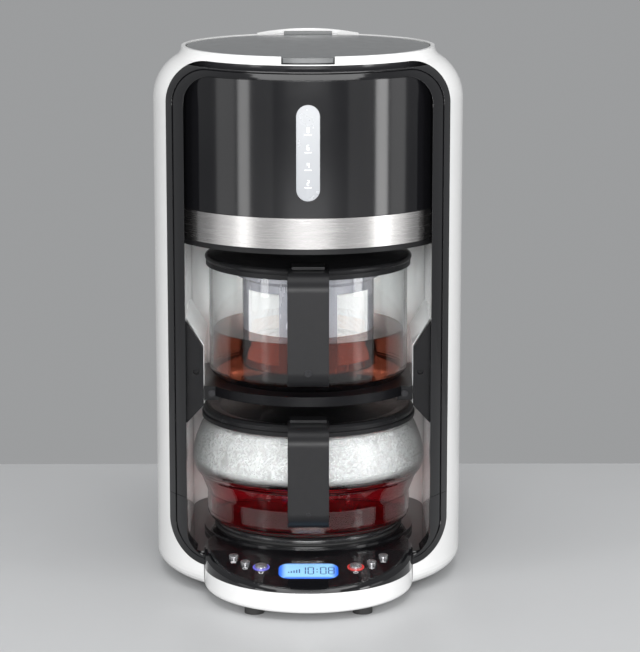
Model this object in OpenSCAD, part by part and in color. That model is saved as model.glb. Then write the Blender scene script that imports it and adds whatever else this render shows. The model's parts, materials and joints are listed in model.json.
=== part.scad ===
// Automatic tea maker: a round water tank over a brewing jug with a tea
// filter, and a serving jug on a hot plate below it.
// Millimetres, +Z up, front towards -Y, standing on Z = 0. The origin is
// the centre of the outer box at the bottom. "Ahead" is measured from the
// body's vertical axis towards the front.

/* [Body] */
// Outside radius of the round body
shell_r = 112; // [108:0.5:118]
// Wall of the white outer shell
shell_wall = 2.6; // [2:0.1:3]
// Distance from the body's side in to the collar ring round the lid
collar_step = 20.7; // [19:0.1:21]
// Radius of the large shoulder curve
shoulder_r = 35; // [33:1:37]
// Radius of the hollow curve under the collar
neck_r = 9; // [7:0.5:10]
// Rounding of the body's bottom edge
foot_round = 11; // [6:1:14]
// Height of the feet under the base
foot_h = 5; // [4:0.5:7]
// Height of the cord gland's centre
gland_z = 26; // [24:1:34]
// Outside radius of the cord gland
gland_r = 6.9; // [6:0.1:7.4]
// Angle from straight back to the seams beside the rear shell
rear_half_angle = 58; // [50:1:64]
// Running clearance between pieces that are fitted to each other
fit_gap = 0.3; // [0.2:0.05:0.4]

/* [Front frame] */
// Distance from the body's side in to the frame's outer edge
frame_step = 11.5; // [10:0.5:13]
// Width of the frame from its outer edge to the opening
frame_w = 13.1; // [12:0.1:13.5]
// Height of the frame's lower edge
frame_low = 22; // [21:0.5:24]
// Drop from the collar's top to the frame's upper edge
frame_drop = 6; // [5:0.5:7]
// Corner radius of the frame at the top
frame_top_r = 30; // [26:1:34]
// Corner radius of the frame at the bottom
frame_low_r = 27; // [24:1:30]
// Height of the seam between the two frame pieces
frame_seam = 68; // [60:1:80]
// Thickness of the frame
frame_t = 3; // [2.5:0.1:3.5]
// Width of the raised outer strip of the frame
bead_w = 4.5; // [3:0.5:6]
// Height of the raised outer strip
bead_h = 0.6; // [0.4:0.1:0.8]

/* [Water tank] */
// Distance from the body's side in to the glossy tank front
tank_front_step = 8; // [7:0.5:9]
// Wall of the tank front
tank_front_t = 2.4; // [2:0.1:3]
// Height of the tank section's underside over the brewing jug's rim
jug_lid_room = 19; // [17:0.5:21]
// Height of the tank section, from its underside to the front's upper edge
tank_section_h = 121; // [119:0.5:130]
// Distance from the tank front in to the water tank
tank_step = 6; // [5:0.5:10]
// Wall of the water tank
tank_wall = 2.2; // [1.8:0.1:3]
// Height of the steel band
band_h = 21.5; // [18:0.5:24]
// Height of the dark lip under the steel band
lip_h = 4; // [3.5:0.5:5]
// Width of the gauge window
gauge_w = 16.6; // [14:0.2:18]
// Length of the gauge window
gauge_l = 67; // [60:1:72]
// Height of the gauge window's lower end over the tank section's underside
gauge_rise = 37.5; // [34:0.5:41]

/* [Lid] */
// Height of the collar's top over the tank front's upper edge
collar_rise = 15; // [13:1:24]
// Distance from the collar's outside in to the lid's edge
lid_step = 3.9; // [3.5:0.1:5]
// Thickness of the tank lid at its edge
lid_t = 3.2; // [2.6:0.1:4]
// Rise of the lid's dome
lid_rise = 2.6; // [1:0.1:3.4]
// Width of the finger tab on the lid
lid_tab_w = 35; // [28:1:40]
// Distance of the hinge pin inside the lid's edge
hinge_step = 4.9; // [4.4:0.1:5.4]
// Radius of the hinge pin
hinge_pin_r = 1.5; // [1.2:0.1:1.8]
// Length of the lid's hinge barrel
barrel_l = 36; // [30:1:37]

/* [Base] */
// Radius of the rounded front of the base
bulge_r = 75; // [74:0.5:76]
// Distance of the rounded front's centre inside the body's front
bulge_step = 38; // [36:0.5:40]
// Height of the white skirt's upper edge
skirt_top = 20; // [19:0.5:21]
// Wall of the white skirt
skirt_wall = 2.5; // [2:0.1:3]
// Slope of the control panel in degrees
panel_slope = 10; // [8:0.5:12]
// Rounding of the control panel's outer edge
panel_round = 7; // [5:0.5:9]
// Wall of the deck
deck_wall = 2.4; // [2:0.1:2.8]
// Height of the deck's floor beside the hot plate
deck_floor = 30; // [29:0.5:32]
// Width of the raised ring round the hot plate
surround_w = 9.5; // [8:0.5:11]
// Height of the raised ring round the hot plate
surround_top = 34; // [33:0.5:35]

/* [Hot plate] */
// Distance from the serving jug's foot in to the hot plate's edge
plate_step = 7.1; // [5:0.1:10]
// Height of the hot plate's upper face
plate_top = 38; // [37:0.5:40]
// Thickness of the hot plate
plate_t = 3; // [2.5:0.5:4]
// Radius of the heating tube's ring
heater_ring_r = 42; // [34:1:50]
// Radius of the heating tube
heater_tube_r = 3.2; // [2.5:0.1:3.6]

/* [Controls] */
// Width of the display window
lcd_w = 42; // [38:1:46]
// Depth of the display window
lcd_d = 23; // [20:1:25]
// Distance of the display ahead of the rounded front's centre
lcd_ahead = 42; // [40:0.5:44]
// Radius of a small button
small_button_r = 3.4; // [3:0.1:4]
// Radius of a large button
large_button_r = 4.3; // [4:0.1:4.6]
// Radius of the light ring round a large button
ring_r = 6; // [5.6:0.1:6.6]
// Travel of a button
button_travel = 1; // [0.8:0.1:1.2]
// Height of a button above the panel
button_rise = 2.2; // [1.8:0.1:2.6]

/* [Jugs] */
// Distance of the jugs' axis ahead of the body's axis
jug_ahead = 8; // [6:0.5:9]
// Glass wall
glass_t = 2.4; // [2:0.1:3]
// Difference in radius between the two jugs
brew_step = 13; // [12:0.2:15]
// Height of the brewing jug's bottom over the serving jug's rim
jug_spacing = 27; // [26:0.5:29]
// Height of the brewing jug's glass
brew_h = 86; // [83:0.5:87]
// Gap between the serving jug and each side of the opening
jug_side_gap = 2; // [1.4:0.2:4]
// Distance from the serving jug's widest point in to its straight foot
serve_foot_step = 10.8; // [9:0.2:13]
// Height of the serving jug's widest point over the hot plate
serve_mid_rise = 48; // [44:1:52]
// Height of the serving jug's glass rim over the hot plate
serve_h = 81; // [79:0.5:82]
// Width of the strap handles
strap_w = 29; // [24:1:32]
// Thickness of the strap handles
strap_t = 5; // [4:0.5:6]
// Height of the brewing handle's lower arm over the jug's bottom
brew_arm_rise = 11; // [8:1:19]
// Height of the serving handle's lower arm over the hot plate
serve_arm_rise = 18; // [14:1:24]
// Height of the band under each jug's lid
jug_band_h = 3; // [2.6:0.2:4]
// Room for fingers behind a strap handle
finger_gap = 26; // [22:1:28]

/* [Filter] */
// Distance from the tea filter's collar in to its body
filter_step = 5; // [3:0.5:9]
// Distance from the brewing jug's outside in to the tea filter's collar
filter_collar_step = 19.4; // [17:0.2:21]
// Height of the tea filter's bottom over the jug's bottom
filter_rise = 9; // [7:0.5:14]
// Wall of the tea filter
filter_wall = 2; // [1.6:0.1:2.4]
// Drop from the brewing jug's rim to the mesh windows' upper edge
mesh_drop = 19; // [16:1:27]
// Width of a mesh window
mesh_w = 32; // [26:1:36]

/* [Shelf] */
// Distance from the brewing jug's outside to the shelf's edge
shelf_step = 7.6; // [5:0.2:9]
// Thickness of the shelf
shelf_t = 7; // [6:0.5:8]
// Radius of the valve housing under the shelf
housing_r = 34; // [30:1:38]
// Height of the valve housing under the shelf
housing_h = 9.5; // [8:0.5:10]
// Depth of the side arms from the recess wall
arm_reach = 12; // [10:0.5:12.4]
// Height of a side arm's top over the brewing jug's bottom
arm_rise = 49; // [44:1:52]
// Drop from the brewing jug's bottom to a side arm's lower end
arm_drop = 26; // [24:1:28]
// Thickness of the side arms
arm_t = 9; // [7:0.5:12]
// Front face of the side arms ahead of the body's axis
arm_ahead = 56; // [50:1:58]

/* [Hidden] */
$fn = 96;
eps = 0.01;
// widths, from the body's side inwards
frame_half = shell_r - frame_step;
opening_half = frame_half - frame_w;
tank_front_r = shell_r - tank_front_step;
tank_r = tank_front_r - tank_step;
collar_r = shell_r - collar_step;
lid_r = collar_r - lid_step;
hinge_back = lid_r - hinge_step;
bulge_ahead = shell_r - bulge_step;
serve_r = opening_half - jug_side_gap;
serve_foot_r = serve_r - serve_foot_step;
brew_r = serve_r - brew_step;
plate_r = serve_foot_r - plate_step;
surround_r = plate_r + surround_w;
shelf_r = brew_r + shelf_step;
filter_collar_r = brew_r - filter_collar_step;
filter_r = filter_collar_r - filter_step;
// heights, from the hot plate upwards
serve_mid = plate_top + serve_mid_rise;
serve_rim = plate_top + serve_h;
serve_strap_low = plate_top + serve_arm_rise;
brew_low = serve_rim + jug_spacing;
brew_rim = brew_low + brew_h;
brew_strap_low = brew_low + brew_arm_rise;
filter_low = brew_low + filter_rise;
mesh_high = brew_rim - mesh_drop;
arm_high = brew_low + arm_rise;
arm_low = brew_low - arm_drop;
tank_low = brew_rim + jug_lid_room;
gauge_low = tank_low + gauge_rise;
tank_front_top = tank_low + tank_section_h;
collar_top = tank_front_top + collar_rise;
frame_high = collar_top - frame_drop;
// the body's axis stands behind the middle of the outer box
body_front = bulge_ahead + bulge_r;
axis_y = (body_front - shell_r) / 2;
base_z = foot_h;
shell_in = shell_r - shell_wall;
shoulder_z = collar_top - neck_height();
band_low = tank_low + lip_h;
band_high = band_low + band_h;
tank_floor = tank_low + 7;
tank_seam = shoulder_z + 8;
tank_front_wall = sqrt(tank_front_r * tank_front_r - opening_half * opening_half) - 3;
collar_in = lid_r + 1;
// how far ahead of the axis the frame's pocket starts
frame_back = 30;
// hinge of the lid
hinge_z = collar_top - 1;
cover_half = 38;
cover_drop = 2.8;
cover_crest_r = (cover_half * cover_half + cover_drop * cover_drop) / (2 * cover_drop);
barrel_r = hinge_pin_r + 1.5;
tank_mouth_r = collar_in - 3;
plug_r = tank_mouth_r - tank_wall - fit_gap - 0.1;
lid_under = collar_top - lid_t;
rear_cut = hinge_back - barrel_r - 3;
// shelf and jugs
shelf_low = brew_low - shelf_t;
housing_low = shelf_low - housing_h;
brew_in = brew_r - glass_t;
serve_neck_r = collar_neck(serve_r);
strap_ahead = finger_gap + strap_t;
brew_strap_top = brew_rim + 6;
serve_strap_top = serve_rim + 9.5;
brew_collar_r = brew_r + 2.2;
brew_lid_r = brew_r + 3;
serve_collar_r = serve_neck_r + 2.2;
serve_lid_r = serve_neck_r + 1.2;
panel_ridge = bulge_r - 11;
bayonet_r = filter_collar_r - filter_wall - fit_gap;
panel_z = skirt_top + 3.5;
skirt_seam = bulge_r - 0.2;
// recess behind the jugs
recess_back = shell_r - 28;
recess_front = shell_r - 36;
recess_corner_r = opening_half - 53.4;
// inner pieces
tank_heater_r = tank_r - 38;
board_r = bulge_r - 10;
board_d = 50;
base_screw_ring = shell_r - 28;
foot_ring = shell_r - 26;
foot_r = 7;
// small buttons: angle round the panel's centre and distance from it
small_buttons = [[-69, 57], [-56, 54], [56, 54], [69, 57]];
large_buttons = [[-43, 49], [43, 49]];

// ---- shared geometry ----

function arc(cx, cy, r, a0, a1, n) =
    [for (i = [0:n]) let (a = a0 + (a1 - a0) * i / n)
        [cx + r * cos(a), cy + r * sin(a)]];

// drop from the collar's top to the start of the shoulder curve
function neck_height() = let (
    across = collar_r + neck_r - shell_r + shoulder_r,
    reach = shoulder_r + neck_r) sqrt(reach * reach - across * across);

function collar_neck(r) = r - 9.4;

// outline of the body from the collar down to the foot, moved in by inset
function body_curve(inset) = let (
    cx = shell_r - shoulder_r,
    cz = shoulder_z,
    turn = acos((collar_r + neck_r - cx) / (shoulder_r + neck_r)))
    concat(
        arc(collar_r + neck_r, collar_top, neck_r + inset, 180, 180 + turn, 6),
        arc(cx, cz, shoulder_r - inset, turn, 0, 12),
        arc(shell_r - foot_round, base_z + foot_round,
            foot_round - inset, 0, -90, 6));

module body_solid(inset) {
    low = base_z + inset;
    rotate_extrude($fn = 128)
        polygon(concat([[0, low], [0, collar_top]], body_curve(inset)));
}

module at_axis(ahead = 0) {
    translate([0, axis_y - ahead, 0]) children();
}

// a rectangle with round corners in the X-Z plane, from exact pieces
module round_rect(half, low, high, r_low, r_high) {
    r_mid = max(r_low, r_high);
    translate([-half, low + r_low]) square([2 * half, high - low - r_low - r_high]);
    translate([r_low - half, low]) square([2 * (half - r_low), high - low - r_mid]);
    translate([r_high - half, low + r_mid]) square([2 * (half - r_high), high - low - r_mid]);
    for (side = [-1, 1]) {
        translate([side * (half - r_low), low + r_low]) circle(r_low);
        translate([side * (half - r_high), high - r_high]) circle(r_high);
    }
}

module frame_outline(inset) {
    round_rect(frame_half - inset, frame_low + inset, frame_high - inset,
        frame_low_r - inset, frame_top_r - inset);
}

// opening inside the frame: its top follows the tank front's upper edge
module opening_outline(grow = 0) {
    round_rect(opening_half + grow, frame_low + 6 - grow, tank_front_top + grow,
        frame_low_r - 12, frame_top_r - 10);
}

// a prism through the front of the body, from "near" to "far" ahead
module front_prism(near, far) {
    translate([0, -near, 0]) rotate([90, 0, 0]) linear_extrude(far - near) children();
}

module ring(r_out, r_in, low, high) {
    translate([0, 0, low]) difference() {
        cylinder(r = r_out, h = high - low);
        translate([0, 0, -1]) cylinder(r = r_in, h = high - low + 2);
    }
}

module disc(r, low, high) {
    translate([0, 0, low]) cylinder(r = r, h = high - low);
}

// ---- body ----

module shell_whole() {
    difference() {
        body_solid(0);
        intersection() {
            body_solid(shell_wall);
            disc(shell_r, 0, collar_top - 6);
        }
        disc(collar_in, collar_top - 7, collar_top + 1);
        front_prism(frame_back, shell_r + 5) frame_outline(-fit_gap / 2);
        // room for the base under the rounded front
        translate([-skirt_seam, -shell_r - 5, base_z - 1])
            cube([2 * skirt_seam, shell_r - 20, frame_low - base_z + 3]);
        disc(shell_in - foot_round + 2, base_z - 1, base_z + shell_wall + 1);
        // notch for the lid's finger tab
        translate([-lid_tab_w / 2 - 1, -collar_r - 5, collar_top - 5.2])
            cube([lid_tab_w + 2, 12, 8]);
        // hole for the cord's gland
        translate([0, shell_r, gland_z]) rotate([90, 0, 0])
            cylinder(r = gland_r + 0.1, h = 12, center = true);
    }
}

// everything within an angle to either side of straight back
module rear_sector(half, low, high) {
    reach = 2 * shell_r;
    translate([0, 0, low]) linear_extrude(high - low) polygon([[0, 0],
        [reach * sin(half), reach * cos(half)], [0, 2 * reach], [-reach * sin(half), reach * cos(half)]]);
}

module side_shell(side) {
    color("white") at_axis() difference() {
        intersection() {
            shell_whole();
            translate([side > 0 ? 0 : -2 * shell_r, -2 * shell_r, 0])
                cube([2 * shell_r, 4 * shell_r, collar_top + 5]);
        }
        rear_sector(rear_half_angle, -1, collar_top + 6);
    }
}

module shell_left() {
    side_shell(-1);
}

module shell_right() {
    side_shell(1);
}

module shell_rear() {
    color("white") at_axis() intersection() {
        shell_whole();
        rear_sector(rear_half_angle, -1, collar_top + 6);
    }
    color("white") at_axis() hinge_bosses();
}

module hinge_cover() {
    color("white") at_axis() intersection() {
        rotate_extrude($fn = 128) polygon(concat(
            [[collar_in + 0.2, collar_top], [collar_in + 0.2, collar_top + 2]],
            arc(collar_r - 1.4, collar_top + 2, 1.7, 140, 0, 5),
            [[collar_r + 0.3, collar_top]]));
        translate([-cover_half, 40, collar_top]) cube([2 * cover_half, 80, 10]);
        // its ends run down towards the collar
        translate([0, 40, collar_top + 3.7 - cover_crest_r]) rotate([-90, 0, 0])
            cylinder(r = cover_crest_r, h = 80, $fn = 512);
    }
}

// bosses on the collar that hold the ends of the hinge pin
module hinge_bosses() {
    for (side = [-1, 1]) difference() {
        translate([side * (barrel_l / 2 + 2.1) - 1.8, hinge_back - barrel_r, collar_top - 6])
            cube([3.6, collar_in - hinge_back + 1, 6]);
        translate([side * (barrel_l / 2 + 2.1), hinge_back, hinge_z]) rotate([0, 90, 0])
            cylinder(r = hinge_pin_r + 0.03, h = 8, center = true);
    }
}

module hinge_pin() {
    color("silver") at_axis()
        translate([0, hinge_back, hinge_z]) rotate([0, 90, 0])
            cylinder(r = hinge_pin_r, h = barrel_l + 7, center = true);
}

module tank_lid() {
    dome_r = (lid_r * lid_r + lid_rise * lid_rise) / (2 * lid_rise);
    color("dimgray") at_axis() difference() {
        union() {
            intersection() {
                rotate_extrude($fn = 128) polygon(concat(
                    [[0, lid_under], [lid_r, lid_under]],
                    arc(0, collar_top - 0.6 + lid_rise - dome_r, dome_r,
                        90 - asin(lid_r / dome_r), 90, 10)));
                translate([-lid_r, -lid_r, 0]) cube([2 * lid_r, lid_r + rear_cut, 500]);
            }
            intersection() {
                ring(plug_r, plug_r - 1.8, lid_under - 4, lid_under + 1);
                translate([-lid_r, -lid_r, 0]) cube([2 * lid_r, lid_r + rear_cut - 4, 500]);
            }
            // finger tab
            intersection() {
                translate([-lid_tab_w / 2, -collar_r - 0.6, lid_under - 1])
                    cube([lid_tab_w, 12, lid_t + 0.2]);
                disc(collar_r + 0.5, 0, 500);
            }
            // barrel and its arms
            translate([0, hinge_back, hinge_z]) rotate([0, 90, 0])
                cylinder(r = barrel_r, h = barrel_l, center = true);
            for (side = [-1, 1])
                translate([side * (barrel_l / 2 - 6) - 6, rear_cut - 3, lid_under])
                    cube([12, hinge_back - rear_cut + 3, lid_t - 0.8]);
        }
        translate([0, hinge_back, hinge_z]) rotate([0, 90, 0])
            cylinder(r = hinge_pin_r + 0.06, h = barrel_l + 2, center = true);
    }
}

// frame with its raised outer strip and the walls behind its opening
module bezel_whole() {
    difference() {
        intersection() {
            body_solid(0);
            front_prism(frame_back, shell_r + 5) frame_outline(0);
        }
        front_prism(frame_back - 1, shell_r + 5) opening_outline();
        difference() {
            body_solid(frame_t);
            front_prism(tank_front_wall, shell_r + 5) opening_outline(2.2);
        }
        difference() {
            front_prism(frame_back - 1, shell_r + 5) frame_outline(bead_w);
            body_solid(bead_h);
        }
        // room for the water tank, the deck and the base
        disc(tank_r + 0.4, deck_floor, collar_top);
        translate([0, -bulge_ahead, 0]) disc(bulge_r + 0.2, 0, deck_floor + 8);
        disc(shell_in - 0.5, 0, deck_floor + 0.2);
    }
}

module bezel_upper() {
    color("black") at_axis() intersection() {
        bezel_whole();
        translate([-shell_r, -shell_r - 5, frame_seam]) cube([2 * shell_r, shell_r, collar_top]);
    }
}

module bezel_foot(side) {
    color("black") at_axis() intersection() {
        bezel_whole();
        translate([side > 0 ? 0 : -shell_r, -shell_r - 5, 0])
            cube([shell_r, shell_r, frame_seam - 0.2]);
    }
}

module bezel_foot_left() {
    bezel_foot(-1);
}

module bezel_foot_right() {
    bezel_foot(1);
}

// ---- tank ----

module front_wrap(r_out, r_in, low, high, half) {
    intersection() {
        ring(r_out, r_in, low, high);
        translate([-half, -r_out - 1, low - 1]) cube([2 * half, r_out, high - low + 2]);
    }
}

module gauge_slot(grow = 0) {
    front_prism(tank_front_r - 12, tank_front_r + 4)
        round_rect(gauge_w / 2 + grow, gauge_low - grow, gauge_low + gauge_l + grow,
            gauge_w / 2 + grow - eps, gauge_w / 2 + grow - eps);
}

module tank_front() {
    color("black") at_axis() difference() {
        intersection() {
            ring(tank_front_r, tank_front_r - tank_front_t, band_high, tank_front_top);
            front_prism(20, shell_r + 5) opening_outline(-0.2);
        }
        gauge_slot();
    }
}

module gauge_window() {
    color("gainsboro") at_axis() {
        intersection() {
            ring(tank_front_r + 0.3, tank_front_r - tank_front_t, band_high, tank_front_top);
            gauge_slot(-0.1);
        }
        intersection() {
            ring(tank_front_r - tank_front_t, tank_r + 0.2, band_high, tank_front_top);
            gauge_slot(2);
        }
    }
}

module steel_band() {
    color("silver") at_axis()
        front_wrap(tank_front_r + 0.9, tank_front_r - tank_front_t, band_low, band_high,
            opening_half - 0.2);
}

// tub and rim of the tank in one
module tank_whole() {
    difference() {
        rotate_extrude($fn = 128) polygon([
            [0, tank_floor], [tank_r, tank_floor], [tank_r, shoulder_z + 12],
            [tank_mouth_r, collar_top - 9], [tank_mouth_r, collar_top - 5],
            [tank_mouth_r - tank_wall, collar_top - 5],
            [tank_mouth_r - tank_wall, collar_top - 10],
            [tank_r - tank_wall, shoulder_z + 11],
            [tank_r - tank_wall, tank_floor + tank_wall], [0, tank_floor + tank_wall]]);
        disc(9, tank_floor - 1, tank_floor + tank_wall + 1);
        // room for the hinge and its bosses
        translate([-barrel_l / 2 - 6, hinge_back - barrel_r - 2, collar_top - 7])
            cube([barrel_l + 12, 20, 10]);
    }
}

module water_tank() {
    color("dimgray") at_axis() intersection() {
        tank_whole();
        disc(shell_r, 0, tank_seam);
    }
}

module tank_rim() {
    color("dimgray") at_axis() intersection() {
        tank_whole();
        disc(shell_r, tank_seam, collar_top);
    }
}

module tank_base() {
    color("black") at_axis() difference() {
        union() {
            disc(tank_front_r, tank_low, tank_low + 3);
            ring(tank_front_r, tank_front_r - 4, tank_low, band_low);
            // posts that carry the tank
            for (a = [45:90:315])
                rotate(a) translate([tank_r - 18, 0, 0]) disc(6, tank_low + 2, tank_floor);
        }
        disc(9, tank_low - 1, tank_low + 5);
        // room for the frame's walls
        for (side = [0, 1]) mirror([side, 0, 0])
            front_prism(tank_front_wall - 0.3, shell_r)
                translate([opening_half - 0.2, tank_low - 1]) square([shell_r, lip_h + 2]);
    }
}

module tank_heater() {
    color("silver") at_axis()
        ring(tank_heater_r, tank_heater_r - 36, tank_floor - 3, tank_floor);
}

module tank_valve() {
    color("dimgray") at_axis() difference() {
        union() {
            disc(8.9, tank_low, tank_floor + tank_wall);
            disc(13, tank_floor + tank_wall, tank_floor + tank_wall + 4);
            disc(14, tank_low + 3, tank_floor);
        }
        disc(4, tank_low - 1, tank_floor + 8);
    }
}

module spray_head() {
    color("dimgray") at_axis() difference() {
        disc(20, tank_low - 2.6, tank_low);
        disc(4, tank_low - 1.4, tank_low + 1);
        for (a = [0:60:300])
            rotate(a) translate([10, 0, tank_low - 4]) cylinder(r = 1.2, h = 5);
    }
}

// ---- recess ----

// plan of the recess behind the frame, grown by its wall
module recess_plan(grow) {
    r = recess_corner_r + grow;
    half = opening_half + grow;
    back = recess_back + grow;
    translate([-half, -recess_front]) square([2 * half, recess_front + back - r]);
    translate([r - half, 0]) square([2 * (half - r), back]);
    for (side = [-1, 1])
        translate([side * (half - r), back - r]) circle(r);
}

// a side arm seen from the front; sink lets it reach into the recess wall
module arm_section(grow, sink) {
    inner = opening_half - arm_reach - grow;
    polygon([[opening_half + sink, arm_low - grow], [inner, arm_low + 13 - grow / 2],
        [inner, arm_high - 20 + grow], [opening_half + sink, arm_high + 1.7 * grow]]);
}

module recess_liner() {
    color("white") at_axis() {
        difference() {
            translate([0, 0, deck_floor]) linear_extrude(tank_low - deck_floor)
                difference() {
                    recess_plan(2);
                    recess_plan(0);
                    translate([-shell_r, -shell_r])
                        square([2 * shell_r, shell_r - tank_front_wall + 0.2]);
                }
        }
        // bosses behind the side arms
        for (side = [0, 1]) mirror([side, 0, 0])
            front_prism(-30, arm_ahead - arm_t) arm_section(0.4, 0.5);
    }
}

module arm(side) {
    color("black") at_axis() mirror([side, 0, 0]) difference() {
        front_prism(arm_ahead - arm_t, arm_ahead) arm_section(0, 0);
        translate([opening_half - arm_reach + 5, -arm_ahead - 1, (arm_low + arm_high) / 2])
            rotate([-90, 0, 0]) cylinder(r = 2, h = 4);
    }
}

module arm_left() {
    arm(1);
}

module arm_right() {
    arm(0);
}

module brew_shelf() {
    reach = opening_half - arm_reach - 0.4;
    color("black") at_axis() difference() {
        union() {
            intersection() {
                translate([0, -jug_ahead, 0]) disc(shelf_r, shelf_low, brew_low);
                translate([-reach, -200, 0]) cube([2 * reach, 400, 400]);
            }
            for (side = [-1, 1])
                translate([side * (reach - 5.5) - 5.5, -arm_ahead + 4, shelf_low - 3])
                    cube([11, arm_ahead + 26, shelf_t + 3]);
        }
        translate([0, -jug_ahead, 0]) disc(18, shelf_low - 1, brew_low + 1);
        for (side = [-1, 1])
            translate([side * (reach - 5.5), -arm_ahead + 3, shelf_low + 2])
                rotate([-90, 0, 0]) cylinder(r = 1.5, h = 8);
    }
}

module shelf_screws() {
    reach = opening_half - arm_reach - 0.4;
    color("dimgray") at_axis() for (side = [-1, 1])
        translate([side * (reach - 5.5), -arm_ahead + 4, shelf_low + 2]) rotate([-90, 0, 0]) {
            cylinder(r = 1.45, h = 6.8);
            translate([0, 0, -0.9]) cylinder(r = 2.4, h = 0.9);
        }
}

module valve_housing() {
    color("black") at_axis(jug_ahead) difference() {
        union() {
            rotate_extrude() polygon([[0, housing_low], [housing_r - 8, housing_low],
                [housing_r, housing_low + 5], [housing_r, shelf_low], [0, shelf_low]]);
            disc(17.7, shelf_low - 1, brew_low - 3);
        }
        ring(15.5, 6, housing_low + 2, brew_low);
        disc(4, housing_low - 1, brew_low + 1);
    }
}

module valve_magnet() {
    color("peru") at_axis(jug_ahead) ring(15, 6.5, housing_low + 2, brew_low - 4);
}

module drip_nozzle() {
    color("dimgray") at_axis(jug_ahead) difference() {
        union() {
            disc(3.9, housing_low, brew_low - 4);
            disc(7, housing_low - 1.2, housing_low);
        }
        disc(2, housing_low - 3, brew_low + 1);
    }
}

// ---- base ----

module front_skirt() {
    r = 4;
    color("white") at_axis() difference() {
        union() {
            translate([0, -bulge_ahead, 0]) rotate_extrude($fn = 128) polygon(concat(
                [[0, base_z], [bulge_r - r, base_z]],
                arc(bulge_r - r, base_z + r, r, -90, 0, 5),
                [[bulge_r, skirt_top], [bulge_r - skirt_wall, skirt_top],
                 [bulge_r - skirt_wall, base_z + 3], [0, base_z + 3]]));
        }
        // inside the round body only the deck and the base plate remain
        disc(shell_in - foot_round + 2.2, 0, 100);
        intersection() {
            disc(shell_r + 0.2, 0, 100);
            union() {
                translate([skirt_seam, -200, 0]) cube([50, 400, 100]);
                translate([-skirt_seam - 50, -200, 0]) cube([50, 400, 100]);
            }
        }
    }
}

// solid of the deck: sloping panel, floor and ring round the hot plate
module deck_solid(inset) {
    r = panel_round;
    intersection() {
        // the panel ends level with the hot plate's ring
        translate([0, -bulge_ahead, 0])
            disc(bulge_r - inset, skirt_top, surround_top - 1 - inset);
        translate([0, -bulge_ahead, panel_z]) rotate([panel_slope, 0, 0])
            translate([0, 0, panel_ridge * sin(panel_slope)])
                rotate_extrude($fn = 128) polygon(concat(
                    [[0, -60], [0, -inset]],
                    arc(bulge_r + 1 - r, -r, r - inset, 90, 0, 6),
                    [[bulge_r + 1 - inset, -60]]));
    }
    translate([0, 0, skirt_top]) linear_extrude(deck_floor - inset - skirt_top)
        intersection() {
            recess_plan(-inset);
            circle(shell_in - 1);
        }
    translate([0, -jug_ahead, 0]) disc(surround_r - inset, skirt_top, surround_top - inset);
}

// places children on the panel at an angle and distance from its centre
module on_panel(angle, dist) {
    translate([0, -bulge_ahead, panel_z]) rotate([panel_slope, 0, 0])
        translate([dist * sin(angle), -dist * cos(angle), panel_ridge * sin(panel_slope)])
            children();
}

module lcd_outline(grow) {
    r = lcd_d / 2 - 4;
    half = lcd_w / 2 + grow;
    round_rect(half, -lcd_d / 2 - grow, lcd_d / 2 + grow, r + grow, r + grow);
}

module control_deck() {
    color("black") at_axis() difference() {
        deck_solid(0);
        difference() {
            deck_solid(deck_wall);
            translate([0, -jug_ahead, 0]) ring(plate_r + 4, plate_r + 1.6, 0, 60);
        }
        translate([0, 0, skirt_top - 1]) linear_extrude(2) deck_underside();
        translate([0, -jug_ahead, 0]) disc(plate_r + 1.6, 0, 60);
        on_panel(0, lcd_ahead) translate([0, 0, -5]) linear_extrude(10) lcd_outline(0.1);
        for (b = small_buttons)
            on_panel(b[0], b[1]) translate([0, 0, -5])
                cylinder(r = small_button_r + fit_gap, h = 10);
        for (b = large_buttons)
            on_panel(b[0], b[1]) translate([0, 0, -5]) cylinder(r = ring_r + 0.05, h = 10);
    }
}

// the open underside of the deck
module deck_underside() {
    translate([0, -bulge_ahead]) circle(bulge_r - deck_wall);
}

module plate_seal() {
    color("dimgray") at_axis(jug_ahead)
        ring(plate_r + 1.5, plate_r - 1.5, surround_top - 2.4, plate_top - plate_t);
}

module hot_plate() {
    color("black") at_axis(jug_ahead) rotate_extrude($fn = 128) polygon(concat(
        [[0, plate_top - plate_t], [plate_r, plate_top - plate_t]],
        arc(plate_r - 1.5, plate_top - 1.5, 1.5, 0, 90, 4), [[0, plate_top]]));
}

module plate_heater() {
    z = plate_top - plate_t - heater_tube_r;
    color("silver") at_axis(jug_ahead) {
        difference() {
            rotate_extrude() translate([heater_ring_r, z]) circle(heater_tube_r, $fn = 32);
            translate([-7, 0, 0]) cube([14, 80, 100]);
        }
        for (side = [-1, 1])
            translate([side * 8, heater_ring_r - 0.8, z - 8]) cylinder(r = 1.5, h = 6);
    }
}

module plate_sensor() {
    color("dimgray") at_axis(jug_ahead) disc(9, plate_top - plate_t - 7, plate_top - plate_t);
}

// ---- controls ----

module display_window() {
    color("skyblue") at_axis() on_panel(0, lcd_ahead) {
        translate([0, 0, -deck_wall]) linear_extrude(deck_wall + 0.3) lcd_outline(0);
        translate([0, 0, -deck_wall - 1]) linear_extrude(1) lcd_outline(1.5);
    }
}

module display_module() {
    color("darkgreen") at_axis() on_panel(0, lcd_ahead)
        translate([-lcd_w / 2 - 2, -lcd_d / 2 - 1, -deck_wall - 4.2])
            cube([lcd_w + 4, lcd_d + 2, 3.2]);
}

module light_ring(place) {
    on_panel(place[0], place[1]) translate([0, 0, -deck_wall])
        difference() {
            cylinder(r = ring_r, h = deck_wall + 0.4);
            translate([0, 0, -1])
                cylinder(r = large_button_r + fit_gap, h = deck_wall + 3);
        }
}

module program_ring() {
    color("slateblue") at_axis() light_ring(large_buttons[0]);
}

module start_ring() {
    color("firebrick") at_axis() light_ring(large_buttons[1]);
}

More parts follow.
